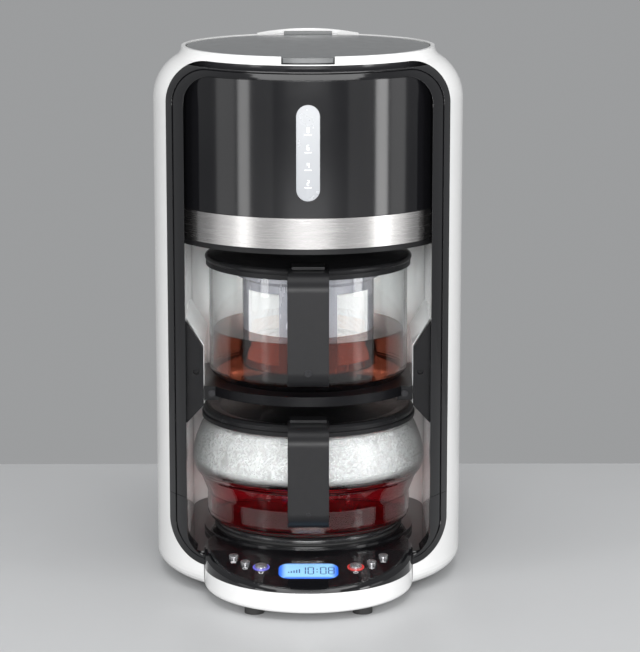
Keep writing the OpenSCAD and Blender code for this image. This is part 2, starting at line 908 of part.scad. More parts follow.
// a button cap with its stem; the flange under the deck stops it
module button(place, r) {
    flange_z = -deck_wall - 0.8;
    color("silver") at_axis() on_panel(place[0], place[1]) {
        translate([0, 0, flange_z]) cylinder(r = r, h = button_rise - flange_z - 0.6);
        translate([0, 0, button_rise - 0.6]) intersection() {
            cylinder(r = r, h = 0.6);
            translate([0, 0, 0.6 - 4 * r]) sphere(r = 4 * r, $fn = 180);
        }
        translate([0, 0, flange_z - 0.8]) cylinder(r = r + 0.9, h = 0.8);
    }
}

module menu_button() {
    button(small_buttons[0], small_button_r);
}

module time_button() {
    button(small_buttons[1], small_button_r);
}

module plus_button() {
    button(small_buttons[2], small_button_r);
}

module minus_button() {
    button(small_buttons[3], small_button_r);
}

module program_button() {
    button(large_buttons[0], large_button_r);
}

module start_button() {
    button(large_buttons[1], large_button_r);
}

// board under the buttons, with a switch below each one
module control_board() {
    gap = deck_wall + 1.6 + button_travel + fit_gap;
    color("darkgreen") at_axis() {
        on_panel(0, 0) intersection() {
            translate([3 - board_r, 1 - board_r, -gap - 3.2]) cube([2 * board_r - 6, board_d, 1.6]);
            cylinder(r = board_r, h = 60, center = true);
        }
        for (b = concat(small_buttons, large_buttons))
            on_panel(b[0], b[1]) translate([0, 0, -gap - 1.7]) cylinder(r = 2.6, h = 1.7);
    }
}

module base_plate() {
    color("dimgray") at_axis() difference() {
        disc(shell_in - foot_round + 1.9, base_z, base_z + 3);
        for (a = [30:60:330])
            rotate(a) translate([base_screw_ring, 0, base_z - 1]) cylinder(r = 1.6, h = 6);
        // air slots
        for (x = [-24:8:24])
            translate([x - 1.5, -20, base_z - 1]) cube([3, 40, 5]);
    }
}

module base_screws() {
    color("silver") at_axis() for (a = [30:60:330])
        rotate(a) translate([base_screw_ring, 0, base_z]) {
            cylinder(r = 1.55, h = 8);
            translate([0, 0, -1.4]) cylinder(r = 3, h = 1.4);
        }
}

module feet() {
    color("dimgray") at_axis() {
        for (a = [45, 135])
            rotate(a) translate([foot_ring, 0, 0]) cylinder(r = foot_r, h = foot_h);
        for (side = [-1, 1]) {
            rotate(-90 + side * 70) translate([foot_ring + 2, 0, 0]) cylinder(r = foot_r, h = foot_h);
            translate([side * 38, -bulge_ahead - bulge_r + 23, 0]) cylinder(r = foot_r, h = foot_h);
        }
    }
}

module cord_gland() {
    color("dimgray") at_axis() translate([0, shell_r, gland_z]) rotate([90, 0, 0]) difference() {
        union() {
            cylinder(r = gland_r, h = 14);
            translate([0, 0, shell_wall + 0.8]) cylinder(r = gland_r + 1.6, h = 1.5);
        }
        translate([0, 0, -1]) cylinder(r = 3.4, h = 20);
    }
}

// ---- brewing jug ----

module brew_glass() {
    r = 9;
    in_low = brew_low + 3;
    color("lightgray", 0.4) at_axis(jug_ahead) difference() {
        rotate_extrude($fn = 128) polygon(concat(
            [[0, brew_low]],
            arc(brew_r - r, brew_low + r, r, -90, 0, 6),
            [[brew_r, brew_rim], [brew_in, brew_rim]],
            arc(brew_in - r + glass_t, in_low + r - glass_t, r - glass_t, 0, -90, 6),
            [[0, in_low]]));
        disc(9, brew_low - 1, in_low + 1);
    }
}

module brew_collar() {
    color("black") at_axis(jug_ahead)
        ring(brew_collar_r, brew_r + 0.02, brew_rim - jug_band_h, brew_rim + 0.4);
}

// a strap handle: its root holds the collar, its lower arm the glass, and
// the strap runs down ahead of them
module strap_handle(r_top, r_low, low, high, root_low, root_high, lid_edge) {
    out = r_top + strap_ahead;
    bend = 12;
    difference() {
        rotate([90, 0, 90]) translate([0, 0, -strap_w / 2]) linear_extrude(strap_w) {
            difference() {
                union() {
                    translate([-out, low + bend]) square([bend, high - low - 2 * bend]);
                    translate([bend - out, high - bend]) circle(bend);
                    translate([bend - out, low + bend]) circle(bend);
                    translate([bend - out, high - strap_t])
                        square([out - bend - lid_edge, strap_t]);
                    translate([bend - out, low]) square([out - bend - r_low + 3, strap_t]);
                }
                translate([bend - out, high - bend]) circle(bend - strap_t);
                translate([bend - out, low + bend]) circle(bend - strap_t);
                translate([strap_t - out, low + bend]) square([bend, high - low - 2 * bend]);
                translate([bend - out, low + strap_t])
                    square([bend, high - low - 2 * strap_t]);
            }
            translate([-lid_edge - 7, root_low]) square([7, high - root_low]);
            translate([-lid_edge - 7, root_low]) square([10, root_high - root_low]);
        }
        disc(r_top + 0.02, root_low - 1, high + 1);
        disc(r_low, low - 1, root_low - 1);
    }
}

module brew_handle() {
    color("black") at_axis(jug_ahead) difference() {
        strap_handle(brew_collar_r, brew_r + fit_gap, brew_strap_low, brew_strap_top, brew_rim - jug_band_h + 0.4,
            brew_rim + 0.4, brew_lid_r + fit_gap);
        translate([0, 1 - brew_collar_r - strap_ahead, brew_strap_low + 12]) rotate([90, 0, 0])
            cylinder(r = 2.6, h = 5);
    }
}

module brew_handle_screw() {
    color("gray") at_axis(jug_ahead)
        translate([0, 1 - brew_collar_r - strap_ahead, brew_strap_low + 12]) rotate([90, 0, 0])
            difference() {
                cylinder(r = 2.5, h = 0.9);
                for (a = [0, 90])
                    rotate(a) translate([-1.6, -0.3, 0.4]) cube([3.2, 0.6, 1]);
            }
}

module brew_valve_seat() {
    color("dimgray") at_axis(jug_ahead) difference() {
        union() {
            disc(8.9, brew_low + 0.4, brew_low + 3);
            disc(12, brew_low + 3, brew_low + 4.6);
        }
        disc(4, brew_low - 1, brew_low + 6);
    }
}

module brew_valve_plunger() {
    color("firebrick") at_axis(jug_ahead) {
        disc(3.7, brew_low + 0.6, brew_low + 4.6);
        disc(6.5, brew_low + 4.6, brew_low + 6.2);
    }
}

// a tab that rises from a lid's edge and reaches forward over the handle
module thumb_tab(width, edge_r, low, over) {
    thick = 2.2;
    translate([-width / 2, 1 - edge_r, low]) cube([width, 3.2, over + thick - low]);
    translate([-width / 2, -edge_r - 10, over]) cube([width, 14.2, thick]);
}

module brew_lid() {
    top = brew_rim + 0.5;
    rise = 5.5;
    dome_r = (brew_lid_r * brew_lid_r + rise * rise) / (2 * rise);
    wall = 2.4;
    hole_r = 16;
    under_r = brew_in - 4;
    plug = brew_in - 0.6;
    peak = top + 4 + rise - dome_r;
    color("black") at_axis(jug_ahead) {
        rotate_extrude($fn = 128) polygon(concat(
            arc(0, peak - wall, dome_r, acos(hole_r / dome_r), acos(under_r / dome_r), 6),
            [[plug - 2, top + 1], [plug - 2, top - 4.5], [plug, top - 4.5], [plug, top],
             [brew_lid_r - 0.8, top]],
            arc(brew_lid_r - 2, top + 2, 2, -40, 60, 4),
            arc(0, peak, dome_r, acos((brew_lid_r - 2) / dome_r), acos(hole_r / dome_r), 8)));
        ring(bayonet_r, bayonet_r - 3, top - 7, top + 6);
        // thumb tab over the handle
        thumb_tab(23, brew_lid_r, top + 2, brew_strap_top + 0.4);
    }
}

module tea_filter() {
    top = brew_rim - 1.2;
    collar_low = top - 9;
    color("slategray", 0.8) at_axis(jug_ahead) difference() {
        rotate_extrude($fn = 128) polygon([
            [0, filter_low], [filter_r - 1, filter_low], [filter_r, filter_low + 2],
            [filter_r, collar_low - 3], [filter_collar_r, collar_low], [filter_collar_r, top],
            [filter_collar_r - filter_wall, top],
            [filter_collar_r - filter_wall, collar_low + 1],
            [filter_r - filter_wall, collar_low - 2],
            [filter_r - filter_wall, filter_low + filter_wall], [0, filter_low + filter_wall]]);
        // four mesh windows
        for (a = [45:90:315]) rotate(a)
            translate([-mesh_w / 2, -filter_r - 1, filter_low + 6])
                cube([mesh_w, 12, mesh_high - filter_low - 6]);
    }
}

// ---- serving jug ----

function serve_curve(inset) = let (
    foot = serve_foot_r, mid = serve_r, z0 = plate_top)
    concat(
        arc(foot - 9, z0 + 9, 9 - inset, -90, 0, 5),
        [[foot - inset, z0 + 22]],
        arc(mid - 17, serve_mid, 17 - inset, -48, 0, 6),
        [[mid - inset - 0.6, serve_mid + 6], [mid - inset - 2.8, serve_mid + 14],
         [mid - inset - 6.4, serve_mid + 23], [serve_neck_r - inset, serve_rim - 5.5],
         [serve_neck_r - inset, serve_rim]]);

module serve_glass() {
    outer = serve_curve(0);
    inner = serve_curve(glass_t);
    last = len(inner) - 1;
    color("lightgray", 0.4) at_axis(jug_ahead) rotate_extrude($fn = 128)
        polygon(concat([[0, plate_top]], outer,
            [for (i = [last:-1:0]) inner[i]], [[0, plate_top + glass_t]]));
}

module serve_collar() {
    color("black") at_axis(jug_ahead)
        ring(serve_collar_r, serve_neck_r + 0.02, serve_rim - jug_band_h + 0.4, serve_rim + 0.4);
}

module serve_handle() {
    color("black") at_axis(jug_ahead)
        strap_handle(serve_collar_r, serve_foot_r + fit_gap, serve_strap_low, serve_strap_top, serve_rim - jug_band_h + 0.8,
            serve_rim + 0.4, serve_lid_r + fit_gap + 0.6);
}

module serve_handle_screw() {
    color("gray") at_axis(jug_ahead)
        translate([0, -serve_collar_r - strap_ahead, serve_strap_low + 12]) rotate([90, 0, 0])
            cylinder(r = 1.5, h = 0.5);
}

module serve_lid() {
    top = serve_rim + 0.5;
    plug = serve_neck_r - glass_t - 0.6;
    color("black") at_axis(jug_ahead) {
        rotate_extrude($fn = 128) polygon([
            [8, top + 0.6], [plug - 2, top], [plug - 2, top - 4], [plug, top - 4],
            [plug, top], [serve_lid_r, top], [serve_lid_r, top + 3],
            [serve_lid_r - 2, top + 4.8], [serve_lid_r - 5, top + 4.8],
            [serve_lid_r - 12, top + 3.4], [8, top + 3]]);
        // thumb tab over the handle
        thumb_tab(26, serve_lid_r, top + 2, serve_strap_top + 0.4);
    }
}

shell_left();
shell_right();
shell_rear();
hinge_cover();
hinge_pin();
tank_lid();
bezel_upper();
bezel_foot_left();
bezel_foot_right();
tank_front();
gauge_window();
steel_band();
water_tank();
tank_rim();
tank_base();
tank_heater();
tank_valve();
spray_head();
recess_liner();
arm_left();
arm_right();
brew_shelf();
shelf_screws();
valve_housing();
valve_magnet();
drip_nozzle();
front_skirt();
control_deck();
plate_seal();
hot_plate();
plate_heater();
plate_sensor();
display_window();
display_module();
program_ring();
start_ring();
menu_button();
time_button();
program_button();
start_button();
plus_button();
minus_button();
control_board();
base_plate();
base_screws();
feet();
cord_gland();
brew_glass();
brew_collar();
brew_handle();
brew_handle_screw();
brew_valve_seat();
brew_valve_plunger();
brew_lid();
tea_filter();
serve_glass();
serve_collar();
serve_handle();
serve_handle_screw();
serve_lid();
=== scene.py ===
"""Looks of an automatic tea maker, laid out as an add-on around its fixed frame.

Everything is in metres, +Z up, front towards -Y.
"""
import json
import math

import bmesh
import bpy
from bpy.props import FloatProperty, FloatVectorProperty, IntProperty, PointerProperty, StringProperty
from bpy.types import Operator, Panel, PropertyGroup
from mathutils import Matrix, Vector


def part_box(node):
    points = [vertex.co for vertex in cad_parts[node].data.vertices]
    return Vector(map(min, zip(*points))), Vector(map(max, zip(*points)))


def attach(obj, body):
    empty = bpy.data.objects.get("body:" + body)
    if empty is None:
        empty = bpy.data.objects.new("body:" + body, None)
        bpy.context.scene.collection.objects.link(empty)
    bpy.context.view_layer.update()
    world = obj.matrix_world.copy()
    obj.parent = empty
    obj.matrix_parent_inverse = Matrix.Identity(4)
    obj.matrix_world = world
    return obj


bl_info = {
    "name": "Tea maker looks",
    "version": (1, 0, 0),
    "blender": (4, 5, 0),
    "location": "View3D > Sidebar > Tea Maker",
    "description": "Finishes, tea, droplets, display and studio for the tea maker",
    "category": "Object",
}

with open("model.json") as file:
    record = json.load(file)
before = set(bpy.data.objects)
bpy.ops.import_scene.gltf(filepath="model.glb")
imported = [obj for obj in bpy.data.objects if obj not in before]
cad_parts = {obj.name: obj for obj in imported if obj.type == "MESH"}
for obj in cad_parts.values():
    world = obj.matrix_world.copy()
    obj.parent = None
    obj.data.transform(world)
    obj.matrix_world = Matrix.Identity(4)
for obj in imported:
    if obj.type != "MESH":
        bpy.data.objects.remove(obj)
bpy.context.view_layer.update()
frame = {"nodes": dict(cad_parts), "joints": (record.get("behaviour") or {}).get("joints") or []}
NODES = frame["nodes"]
MM = 0.001


# ---- places read from the frame ----

def low(node, axis=2):
    """Lowest coordinate of a node along an axis, 0 to 2."""
    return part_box(node)[0][axis]


def high(node, axis=2):
    """Highest coordinate of a node along an axis, 0 to 2."""
    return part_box(node)[1][axis]


def half(node, axis):
    """Half of a node's size along an axis."""
    return (high(node, axis) - low(node, axis)) / 2


def middle(node):
    """Centre of a node's box."""
    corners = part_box(node)
    return (corners[0] + corners[1]) / 2


def joint(name):
    """A joint's entry in the frame."""
    return next(entry for entry in frame["joints"] if entry["name"] == name)


BODY_AXIS = Vector((0.0, middle("water_tank").y, 0.0))
JUG_AXIS = Vector((0.0, middle("serve_glass").y, 0.0))
BREW_RADIUS = high("brew_glass", 0)
SERVE_RADIUS = high("serve_glass", 0)

# Sizes of the jugs and the filter that no node's box gives.
GLASS_WALL = 2.4 * MM
GLASS_CORNER = 9 * MM
BREW_FLOOR = 3 * MM
FILTER_WALL = 2 * MM
FILTER_FLANGE = 5 * MM
SERVE_FOOT_RADIUS = 74.6 * MM
SERVE_FOOT_HEIGHT = 22 * MM
BELLY_BEND = 17 * MM
BELLY_HEIGHT = 86 * MM

CORNER_STEPS = 8
WATER_IOR = 1.333


# ---- node trees ----

class Value:
    """A number or vector in a node tree, so that sums on it read as Python."""

    def __init__(self, nodes, socket):
        self.nodes = nodes
        self.socket = socket

    def _math(self, operation, *inputs):
        return self.nodes.node("ShaderNodeMath", dict(enumerate(inputs)), operation=operation)

    def __add__(self, other):
        return self._math("ADD", self, other)

    def __sub__(self, other):
        return self._math("SUBTRACT", self, other)

    def __rsub__(self, other):
        return self._math("SUBTRACT", other, self)

    def __mul__(self, other):
        return self._math("MULTIPLY", self, other)

    def __truediv__(self, other):
        return self._math("DIVIDE", self, other)

    def __pow__(self, other):
        return self._math("POWER", self, other)

    def __abs__(self):
        return self._math("ABSOLUTE", self)

    def root(self):
        return self._math("SQRT", self)

    def wave(self, period):
        """Sine of the value, with a period in its own units."""
        return self._math("SINE", self * (2 * math.pi / period))

    def larger(self, other):
        return self._math("MAXIMUM", self, other)

    def smooth(self, start, end):
        """0 before start, 1 after end, eased between them."""
        inputs = {"Value": self, "From Min": start, "From Max": end}
        return self.nodes.node("ShaderNodeMapRange", inputs, "Result", interpolation_type="SMOOTHSTEP")


class Nodes:
    """A node tree with a short way to add nodes."""

    def __init__(self, tree):
        self.tree = tree

    def feed(self, slot, value):
        """Links a Value to a socket, or sets the socket to a plain one."""
        if isinstance(value, Value):
            self.tree.links.new(value.socket, slot)
        else:
            slot.default_value = value

    def node(self, kind, inputs=None, output=0, **settings):
        """Adds a node: its settings first, then the values or links of its sockets.

        A kind without the word Node is a shader node.
        """
        node = self.tree.nodes.new(kind if "Node" in kind else "ShaderNode" + kind)
        for key, value in settings.items():
            setattr(node, key, value)
        for key, value in (inputs or {}).items():
            self.feed(node.inputs[key], value)
        return Value(self, node.outputs[output]) if node.outputs else None


def opaque(colour):
    """A colour's three channels and full cover."""
    return (*tuple(colour)[:3], 1.0)


def shade(colour, amount):
    """A colour made lighter or darker by a factor."""
    return tuple(min(1.0, channel * amount) for channel in tuple(colour)[:3])


class Finish(Nodes):
    """A material with a Principled shader."""

    def __init__(self, name, **shader):
        self.material = bpy.data.materials.new(name)
        self.material.use_nodes = True
        super().__init__(self.material.node_tree)
        self.shader = self.tree.nodes["Principled BSDF"]
        self.set(**shader)

    def set(self, **sockets):
        """Sets or links the shader's sockets; base_color is Base Color."""
        for key, value in sockets.items():
            name = " ".join("IOR" if word == "ior" else word.capitalize() for word in key.split("_"))
            if name.endswith("Color") and not isinstance(value, Value):
                value = opaque(value)
            self.feed(self.shader.inputs[name], value)

    def lets_light_in(self, tint):
        """Lamps shine through the piece with this tint, so that what is inside it is lit."""
        shadow = self.node("LightPath", output="Is Shadow Ray")
        clear = self.node("BsdfTransparent", {"Color": opaque(tint)})
        mix = self.node("MixShader", {0: shadow, 1: Value(self, self.shader.outputs[0]), 2: clear})
        self.feed(self.tree.nodes["Material Output"].inputs["Surface"], mix)
        return self

    def position(self, centre=(0, 0, 0), turn=(0, 0, 0), scale=(1, 1, 1)):
        """Object coordinates, centred, turned and scaled."""
        place = self.node("TexCoord", output="Object")
        if tuple(centre) != (0, 0, 0):
            place = self.node("VectorMath", {0: place, 1: tuple(centre)}, operation="SUBTRACT")
        if tuple(turn) == (0, 0, 0) and tuple(scale) == (1, 1, 1):
            return place
        return self.node("Mapping", {"Vector": place, "Rotation": turn, "Scale": scale})

    def split(self, vector):
        """X, Y and Z of a vector."""
        parts = self.node("SeparateXYZ", {0: vector}).socket.node
        return [Value(self, part) for part in parts.outputs]

    def height(self):
        """Height over the table."""
        return self.split(self.position())[2]

    def noise(self, size, detail, stretch=(1, 1, 1)):
        """Noise of about the given size in metres, 0 to 1."""
        inputs = {"Vector": self.position(scale=stretch), "Scale": 1 / size, "Detail": detail}
        return self.node("TexNoise", inputs, "Fac")

    def blend(self, factor, first, second):
        """Mixes two colours by a value."""
        return self.node("Mix", {0: factor, 6: opaque(first), 7: opaque(second)}, 2, data_type="RGBA")

    def bump(self, relief, depth, under=None):
        """A normal from a relief of 0 to 1 and its depth in metres."""
        inputs = {"Height": relief, "Distance": depth, "Strength": 1.0}
        if under:
            inputs["Normal"] = under
        return self.node("Bump", inputs)

    def soft_edges(self, radius):
        """A normal that rounds sharp edges."""
        return self.node("Bevel", {"Radius": radius}, samples=4)


# ---- sizes and colours that a user would change ----

def colour_property(name, description, default):
    return FloatVectorProperty(name=name, description=description, default=default,
                               subtype="COLOR", size=3, min=0, max=1)


def number_property(name, description, default, unit="NONE"):
    return FloatProperty(name=name, description=description, default=default, unit=unit, min=0)


def length_property(name, description, default):
    return number_property(name, description, default, "LENGTH")


class TeaSettings(PropertyGroup):
    """Fill of the jugs and what the steam leaves behind."""

    brew_level: length_property("Brewing level", "Height of the tea in the brewing jug", 0.182)
    serve_level: length_property("Serving level", "Height of the tea in the serving jug", 0.079)
    brew_colour: colour_property("Brewing tea", "Colour of the tea in the brewing jug", (0.38, 0.10, 0.055))
    serve_colour: colour_property("Serving tea", "Colour of the tea in the serving jug", (0.33, 0.006, 0.012))
    clearance: length_property("Clearance", "Gap between the tea and the glass", 0.0001)
    droplets: IntProperty(name="Droplets", description="Droplets inside the serving jug", default=1500, min=0)
    droplet_radius: length_property("Droplet radius", "Radius of the largest droplet", 0.0007)
    steam_cover: FloatProperty(name="Steam", description="How much of the view the steamed glass covers",
                               default=0.34, min=0, max=1)


class FilterSettings(PropertyGroup):
    """The woven mesh in the filter's windows."""

    wire_radius: length_property("Wire radius", "Radius of a mesh wire", 0.00016)
    wire_step: length_property("Wire step", "Distance between two wires", 0.0009)


class DisplaySettings(PropertyGroup):
    """Display, marks and light rings."""

    time_shown: StringProperty(name="Time", description="Digits on the display", default="10:08")
    digit_height: length_property("Digit height", "Height of a digit on the display", 0.0105)
    glow_colour: colour_property("Glow", "Colour of the display's lit middle", (0.30, 0.58, 0.80))
    edge_colour: colour_property("Edge glow", "Colour of the display's rim", (0.02, 0.13, 0.72))
    ink_colour: colour_property("Digits", "Colour of the display's digits", (0.01, 0.05, 0.30))
    mark_colour: colour_property("Marks", "Colour of the printed marks", (0.72, 0.73, 0.75))
    mark_stroke: length_property("Stroke", "Width of a printed stroke", 0.00055)


class FinishSettings(PropertyGroup):
    """Colours of the mouldings and metals."""

    shell_white: colour_property("Shell", "White of the outer shell", (0.75, 0.75, 0.745))
    recess_white: colour_property("Recess", "White of the walls behind the jugs", (0.88, 0.885, 0.89))
    gloss_black: colour_property("Gloss black", "Black of the glossy front", (0.006, 0.006, 0.007))
    satin_black: colour_property("Satin black", "Black of the handles and lids", (0.013, 0.013, 0.014))
    lid_grey: colour_property("Lid", "Grey of the tank lid", (0.12, 0.124, 0.126))
    steel: colour_property("Steel", "Colour of the steel band", (0.43, 0.42, 0.415))
    silver: colour_property("Silver", "Colour of the buttons", (0.62, 0.62, 0.64))
    smoke: colour_property("Smoke", "Colour of the tea filter", (0.33, 0.33, 0.37))


class StudioSettings(PropertyGroup):
    """Camera, floor and lamps."""

    distance: length_property("Distance", "Camera's distance ahead of the body's axis", 1.970)
    height: length_property("Height", "Camera's height over the floor", 0.576)
    pitch: number_property("Pitch", "Downward tilt of the camera", math.radians(11.37), "ROTATION")
    yaw: FloatProperty(name="Yaw", description="Turn of the camera to the right",
                       default=math.atan2(12, 2730), unit="ROTATION")
    lens: number_property("Lens", "Focal length for a 36 mm sensor", 150.74)
    floor_colour: colour_property("Floor", "Colour of the floor", (0.53, 0.535, 0.54))
    wall_colour: colour_property("Backdrop", "Colour of the backdrop", (0.33, 0.335, 0.34))
    side_power: number_property("Side lamps", "Factor on the power of all lamps at the sides", 1.0)
    sky_strength: number_property("Sky", "Strength of the light from all round", 0.24)
    top_power: number_property("Top lamp", "Power of the lamp overhead in watts", 12)
    front_power: number_property("Front lamp", "Power of the lamp in front in watts", 42)


# ---- finishes ----

def mottle(finish, colour, spread, size):
    """A colour that varies slightly over the surface."""
    return finish.blend(finish.noise(size, 3), shade(colour, 1 - spread), shade(colour, 1 + spread))


def gloss_plastic(name, colour, roughness, wave=0.00002):
    """Polished moulding: faint flow marks, rounded edges and a little dust."""
    finish = Finish(name)
    dust = finish.noise(0.0006, 2).smooth(0.66, 0.74)
    flow = finish.noise(0.03, 1)
    relief = finish.bump(flow, wave, finish.soft_edges(0.4 * MM))
    finish.set(base_color=mottle(finish, colour, 0.02, 0.02),
               roughness=finish.noise(0.012, 3) * 0.035 + (roughness - 0.015) + dust * 0.02, normal=relief)
    return finish


def grained_plastic(name, colour, roughness=0.36, depth=0.00003, shine=0.16):
    """Satin moulding with a spark-eroded grain."""
    finish = Finish(name, specular_ior_level=shine)
    grain = finish.noise(0.45 * MM, 4)
    worn = finish.noise(9 * MM, 3)
    finish.set(base_color=mottle(finish, colour, 0.12, 0.004), roughness=worn * 0.10 + (roughness - 0.05),
               normal=finish.bump(grain, depth, finish.soft_edges(0.6 * MM)))
    return finish


def brushed_metal(name, colour, stretch, roughness):
    """Metal brushed along the axis with the small stretch."""
    finish = Finish(name, metallic=1.0, anisotropic=0.4)
    lines = finish.noise(0.0005, 4, stretch=stretch)
    broad = finish.noise(0.004, 2, stretch=stretch)
    tone = finish.blend(lines * 0.6 + broad * 0.4, shade(colour, 0.82), shade(colour, 1.12))
    finish.set(base_color=tone, roughness=lines * 0.14 + (roughness - 0.07),
               normal=finish.bump(lines, 0.012 * MM))
    return finish


def turned_metal(name, colour, centre, tilt):
    """Metal or plating with fine rings round an axis."""
    finish = Finish(name, metallic=0.9)
    x, y, _ = finish.split(finish.position(centre=centre, turn=tilt))
    radius = (x * x + y * y).root()
    rings = radius.wave(0.0004) * 0.5 + 0.5
    finish.set(base_color=mottle(finish, colour, 0.06, 0.003), roughness=rings * 0.08 + 0.22,
               normal=finish.bump(rings, 0.000006, finish.soft_edges(0.0003)))
    return finish


def bare_glass(name):
    """Borosilicate glass that lets the lamps shine in."""
    finish = Finish(name, base_color=(0.985, 0.992, 0.99), transmission_weight=1.0, ior=1.4)
    return finish.lets_light_in((0.93, 0.945, 0.94))


def clear_glass(name):
    """Glass with a trace of haze."""
    finish = bare_glass(name)
    finish.set(roughness=finish.noise(0.02, 3).smooth(0.45, 0.9) * 0.02)
    return finish


def misted_glass(name, start, end):
    """Clear glass with a film of steam on it between two heights."""
    finish = bare_glass(name)
    z = finish.height()
    film = z.smooth(start, start + 6 * MM) * (1 - z.smooth(end - 3 * MM, end))
    beads = finish.noise(0.0011, 3).smooth(0.35, 0.65)
    finish.set(roughness=film * (beads * 0.1 + 0.08), normal=finish.bump(beads * film, 0.00006))
    return finish


def steam(name, cover, start, end):
    """White film of fine drops, run together in places, thinner towards its edges."""
    finish = Finish(name, base_color=(0.60, 0.61, 0.61), roughness=0.35)
    z = finish.height()
    edge = z.smooth(start, start + 7 * MM) * (1 - z.smooth(end - 4 * MM, end))
    beads = finish.noise(0.0016, 4).smooth(0.3, 0.7)
    runs = finish.noise(0.006, 3, stretch=(1, 1, 0.35)).smooth(0.55, 0.75)
    finish.set(alpha=edge * cover * (beads * 0.5 + 0.75) * (1 - runs * 0.35))
    return finish


def liquid(name, colour, ior=1.06):
    """Tea: clear, deeply coloured, with soft cloudiness.

    The index is that of tea against the glass it wets, and 1.333 where it meets air.
    """
    finish = Finish(name, transmission_weight=1.0, ior=ior, roughness=0.0)
    finish.set(base_color=finish.blend(finish.noise(0.02, 2), shade(colour, 0.85), shade(colour, 1.1)))
    return finish.lets_light_in((0.85, 0.77, 0.76))


def smoked_plastic(name, colour):
    """Translucent grey moulding of the filter, with flow lines."""
    finish = Finish(name, transmission_weight=0.4, ior=1.49)
    flow = finish.noise(0.006, 3, stretch=(1, 1, 0.15))
    finish.set(base_color=mottle(finish, colour, 0.1, 0.008), roughness=flow * 0.12 + 0.2,
               normal=finish.bump(flow, 0.00002, finish.soft_edges(0.0004)))
    return finish


def rubber(name, colour):
    """Matt rubber with a fine bloom."""
    finish = Finish(name, specular_ior_level=0.3)
    bloom = finish.noise(0.003, 4)
    finish.set(base_color=finish.blend(bloom, colour, shade(colour, 1.8)), roughness=bloom * 0.2 + 0.6,
               normal=finish.bump(finish.noise(0.0006, 3), 0.00003))
    return finish


def enamel(name, colour):
    """Non-stick coat of the hot plate, with fine specks and a heat-dulled middle."""
    finish = Finish(name)
    specks = finish.noise(0.0007, 2).smooth(0.63, 0.7)
    x, y, _ = finish.split(finish.position(centre=JUG_AXIS))
    dull = (x * x + y * y).smooth(0.0012, 0.0040)
    finish.set(base_color=finish.blend(specks, colour, shade(colour, 9)), roughness=0.34 - dull * 0.14,
               normal=finish.bump(specks, 0.00002))
    return finish


def circuit_board(name):
    """Green lacquer over copper tracks."""
    finish = Finish(name)
    x, y, _ = finish.split(finish.position())
    tracks = (x.wave(0.004) + y.wave(0.0062)).smooth(0.9, 1.0)
    finish.set(base_color=finish.blend(tracks, (0.012, 0.09, 0.035), (0.03, 0.2, 0.07)), roughness=0.3,
               normal=finish.bump(tracks, 0.00003))
    return finish


def wound_copper(name):
    """Turns of lacquered copper wire round the vertical axis, painted darker between the turns as shade and
    lighter on their crests as a highlight.
    """
    finish = Finish(name, metallic=0.9)
    turn_relief_and_shade = finish.height().wave(0.0005) * 0.5 + 0.5
    # the colour is painted shade in the grooves between turns and a painted highlight on each turn's crest
    finish.set(base_color=finish.blend(turn_relief_and_shade, (0.25, 0.08, 0.03), (0.75, 0.33, 0.16)), roughness=0.35,
               normal=finish.bump(turn_relief_and_shade, 0.0001))
    return finish


def lit_window(name, look, node):
    """Backlit display: pale in the middle, deep blue towards the rim."""
    finish = Finish(name, roughness=0.18, emission_strength=0.3)
    x, y, _ = finish.split(finish.position(centre=middle(node)))
    across = abs(x) / half(node, 0)
    along = abs(y) / half(node, 1)
    rim = across.larger(along).smooth(0.62, 1.0)
    cells = finish.noise(0.004, 2) * 0.12
    tone = finish.blend((rim + cells).smooth(0.0, 1.0), look.glow_colour, look.edge_colour)
    finish.set(base_color=tone, emission_color=tone)
    return finish


def lit_ring(name, colour, strength):
    """Light ring round a button, brighter in patches."""
    finish = Finish(name, roughness=0.25, emission_strength=strength)
    tone = finish.blend(finish.noise(0.003, 2), shade(colour, 0.7), shade(colour, 1.25))
    finish.set(base_color=tone, emission_color=tone)
    return finish


def printed(name, colour):
    """Screen-printed ink with slightly uneven cover."""
    finish = Finish(name)
    finish.set(base_color=mottle(finish, colour, 0.12, 0.001), roughness=finish.noise(0.002, 2) * 0.2 + 0.4)
    return finish


def frosted_window(name):
    """Milky gauge window over the water."""
    finish = Finish(name, transmission_weight=0.25, ior=1.49)
    fade = finish.height().smooth(low("gauge_window"), high("gauge_window"))
    finish.set(base_color=finish.blend(fade, (0.46, 0.475, 0.50), (0.54, 0.555, 0.575)),
               roughness=finish.noise(0.01, 3) * 0.08 + 0.22, normal=finish.soft_edges(0.0005))
    return finish


# ---- mesh tools ----

def coat(mesh, finish):
    """Makes a finish the only material of a mesh."""
    mesh.materials.clear()
    mesh.materials.append(finish.material)


def dress(finish, *nodes):
    """Gives CAD nodes a finish."""
    for name in nodes:
        coat(NODES[name].data, finish)


def new_object(name, data):
    made = bpy.data.objects.new(name, data)
    bpy.context.scene.collection.objects.link(made)
    return made


def piece(name, mesh, finish, body, smooth=True):
    """Makes a mesh a named piece that rides on a body."""
    made = new_object(name, mesh)
    coat(mesh, finish)
    if smooth:
        mesh.shade_smooth()
    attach(made, body)


def as_mesh(name, shape, outward=True):
    """Ends a bmesh and returns it as a mesh, its faces turned outward if asked."""
    if outward:
        bmesh.ops.recalc_face_normals(shape, faces=shape.faces)
    mesh = bpy.data.meshes.new(name)
    shape.to_mesh(mesh)
    shape.free()
    return mesh


def ring(shape, radius, height, steps):
    """Corner points on a circle round the jugs' axis, or one point on the axis."""
    if radius < 1e-6:
        return [shape.verts.new((JUG_AXIS.x, JUG_AXIS.y, height))]
    angles = [2 * math.pi * i / steps for i in range(steps)]
    return [shape.verts.new((JUG_AXIS.x + radius * math.cos(a), JUG_AXIS.y + radius * math.sin(a), height))
            for a in angles]


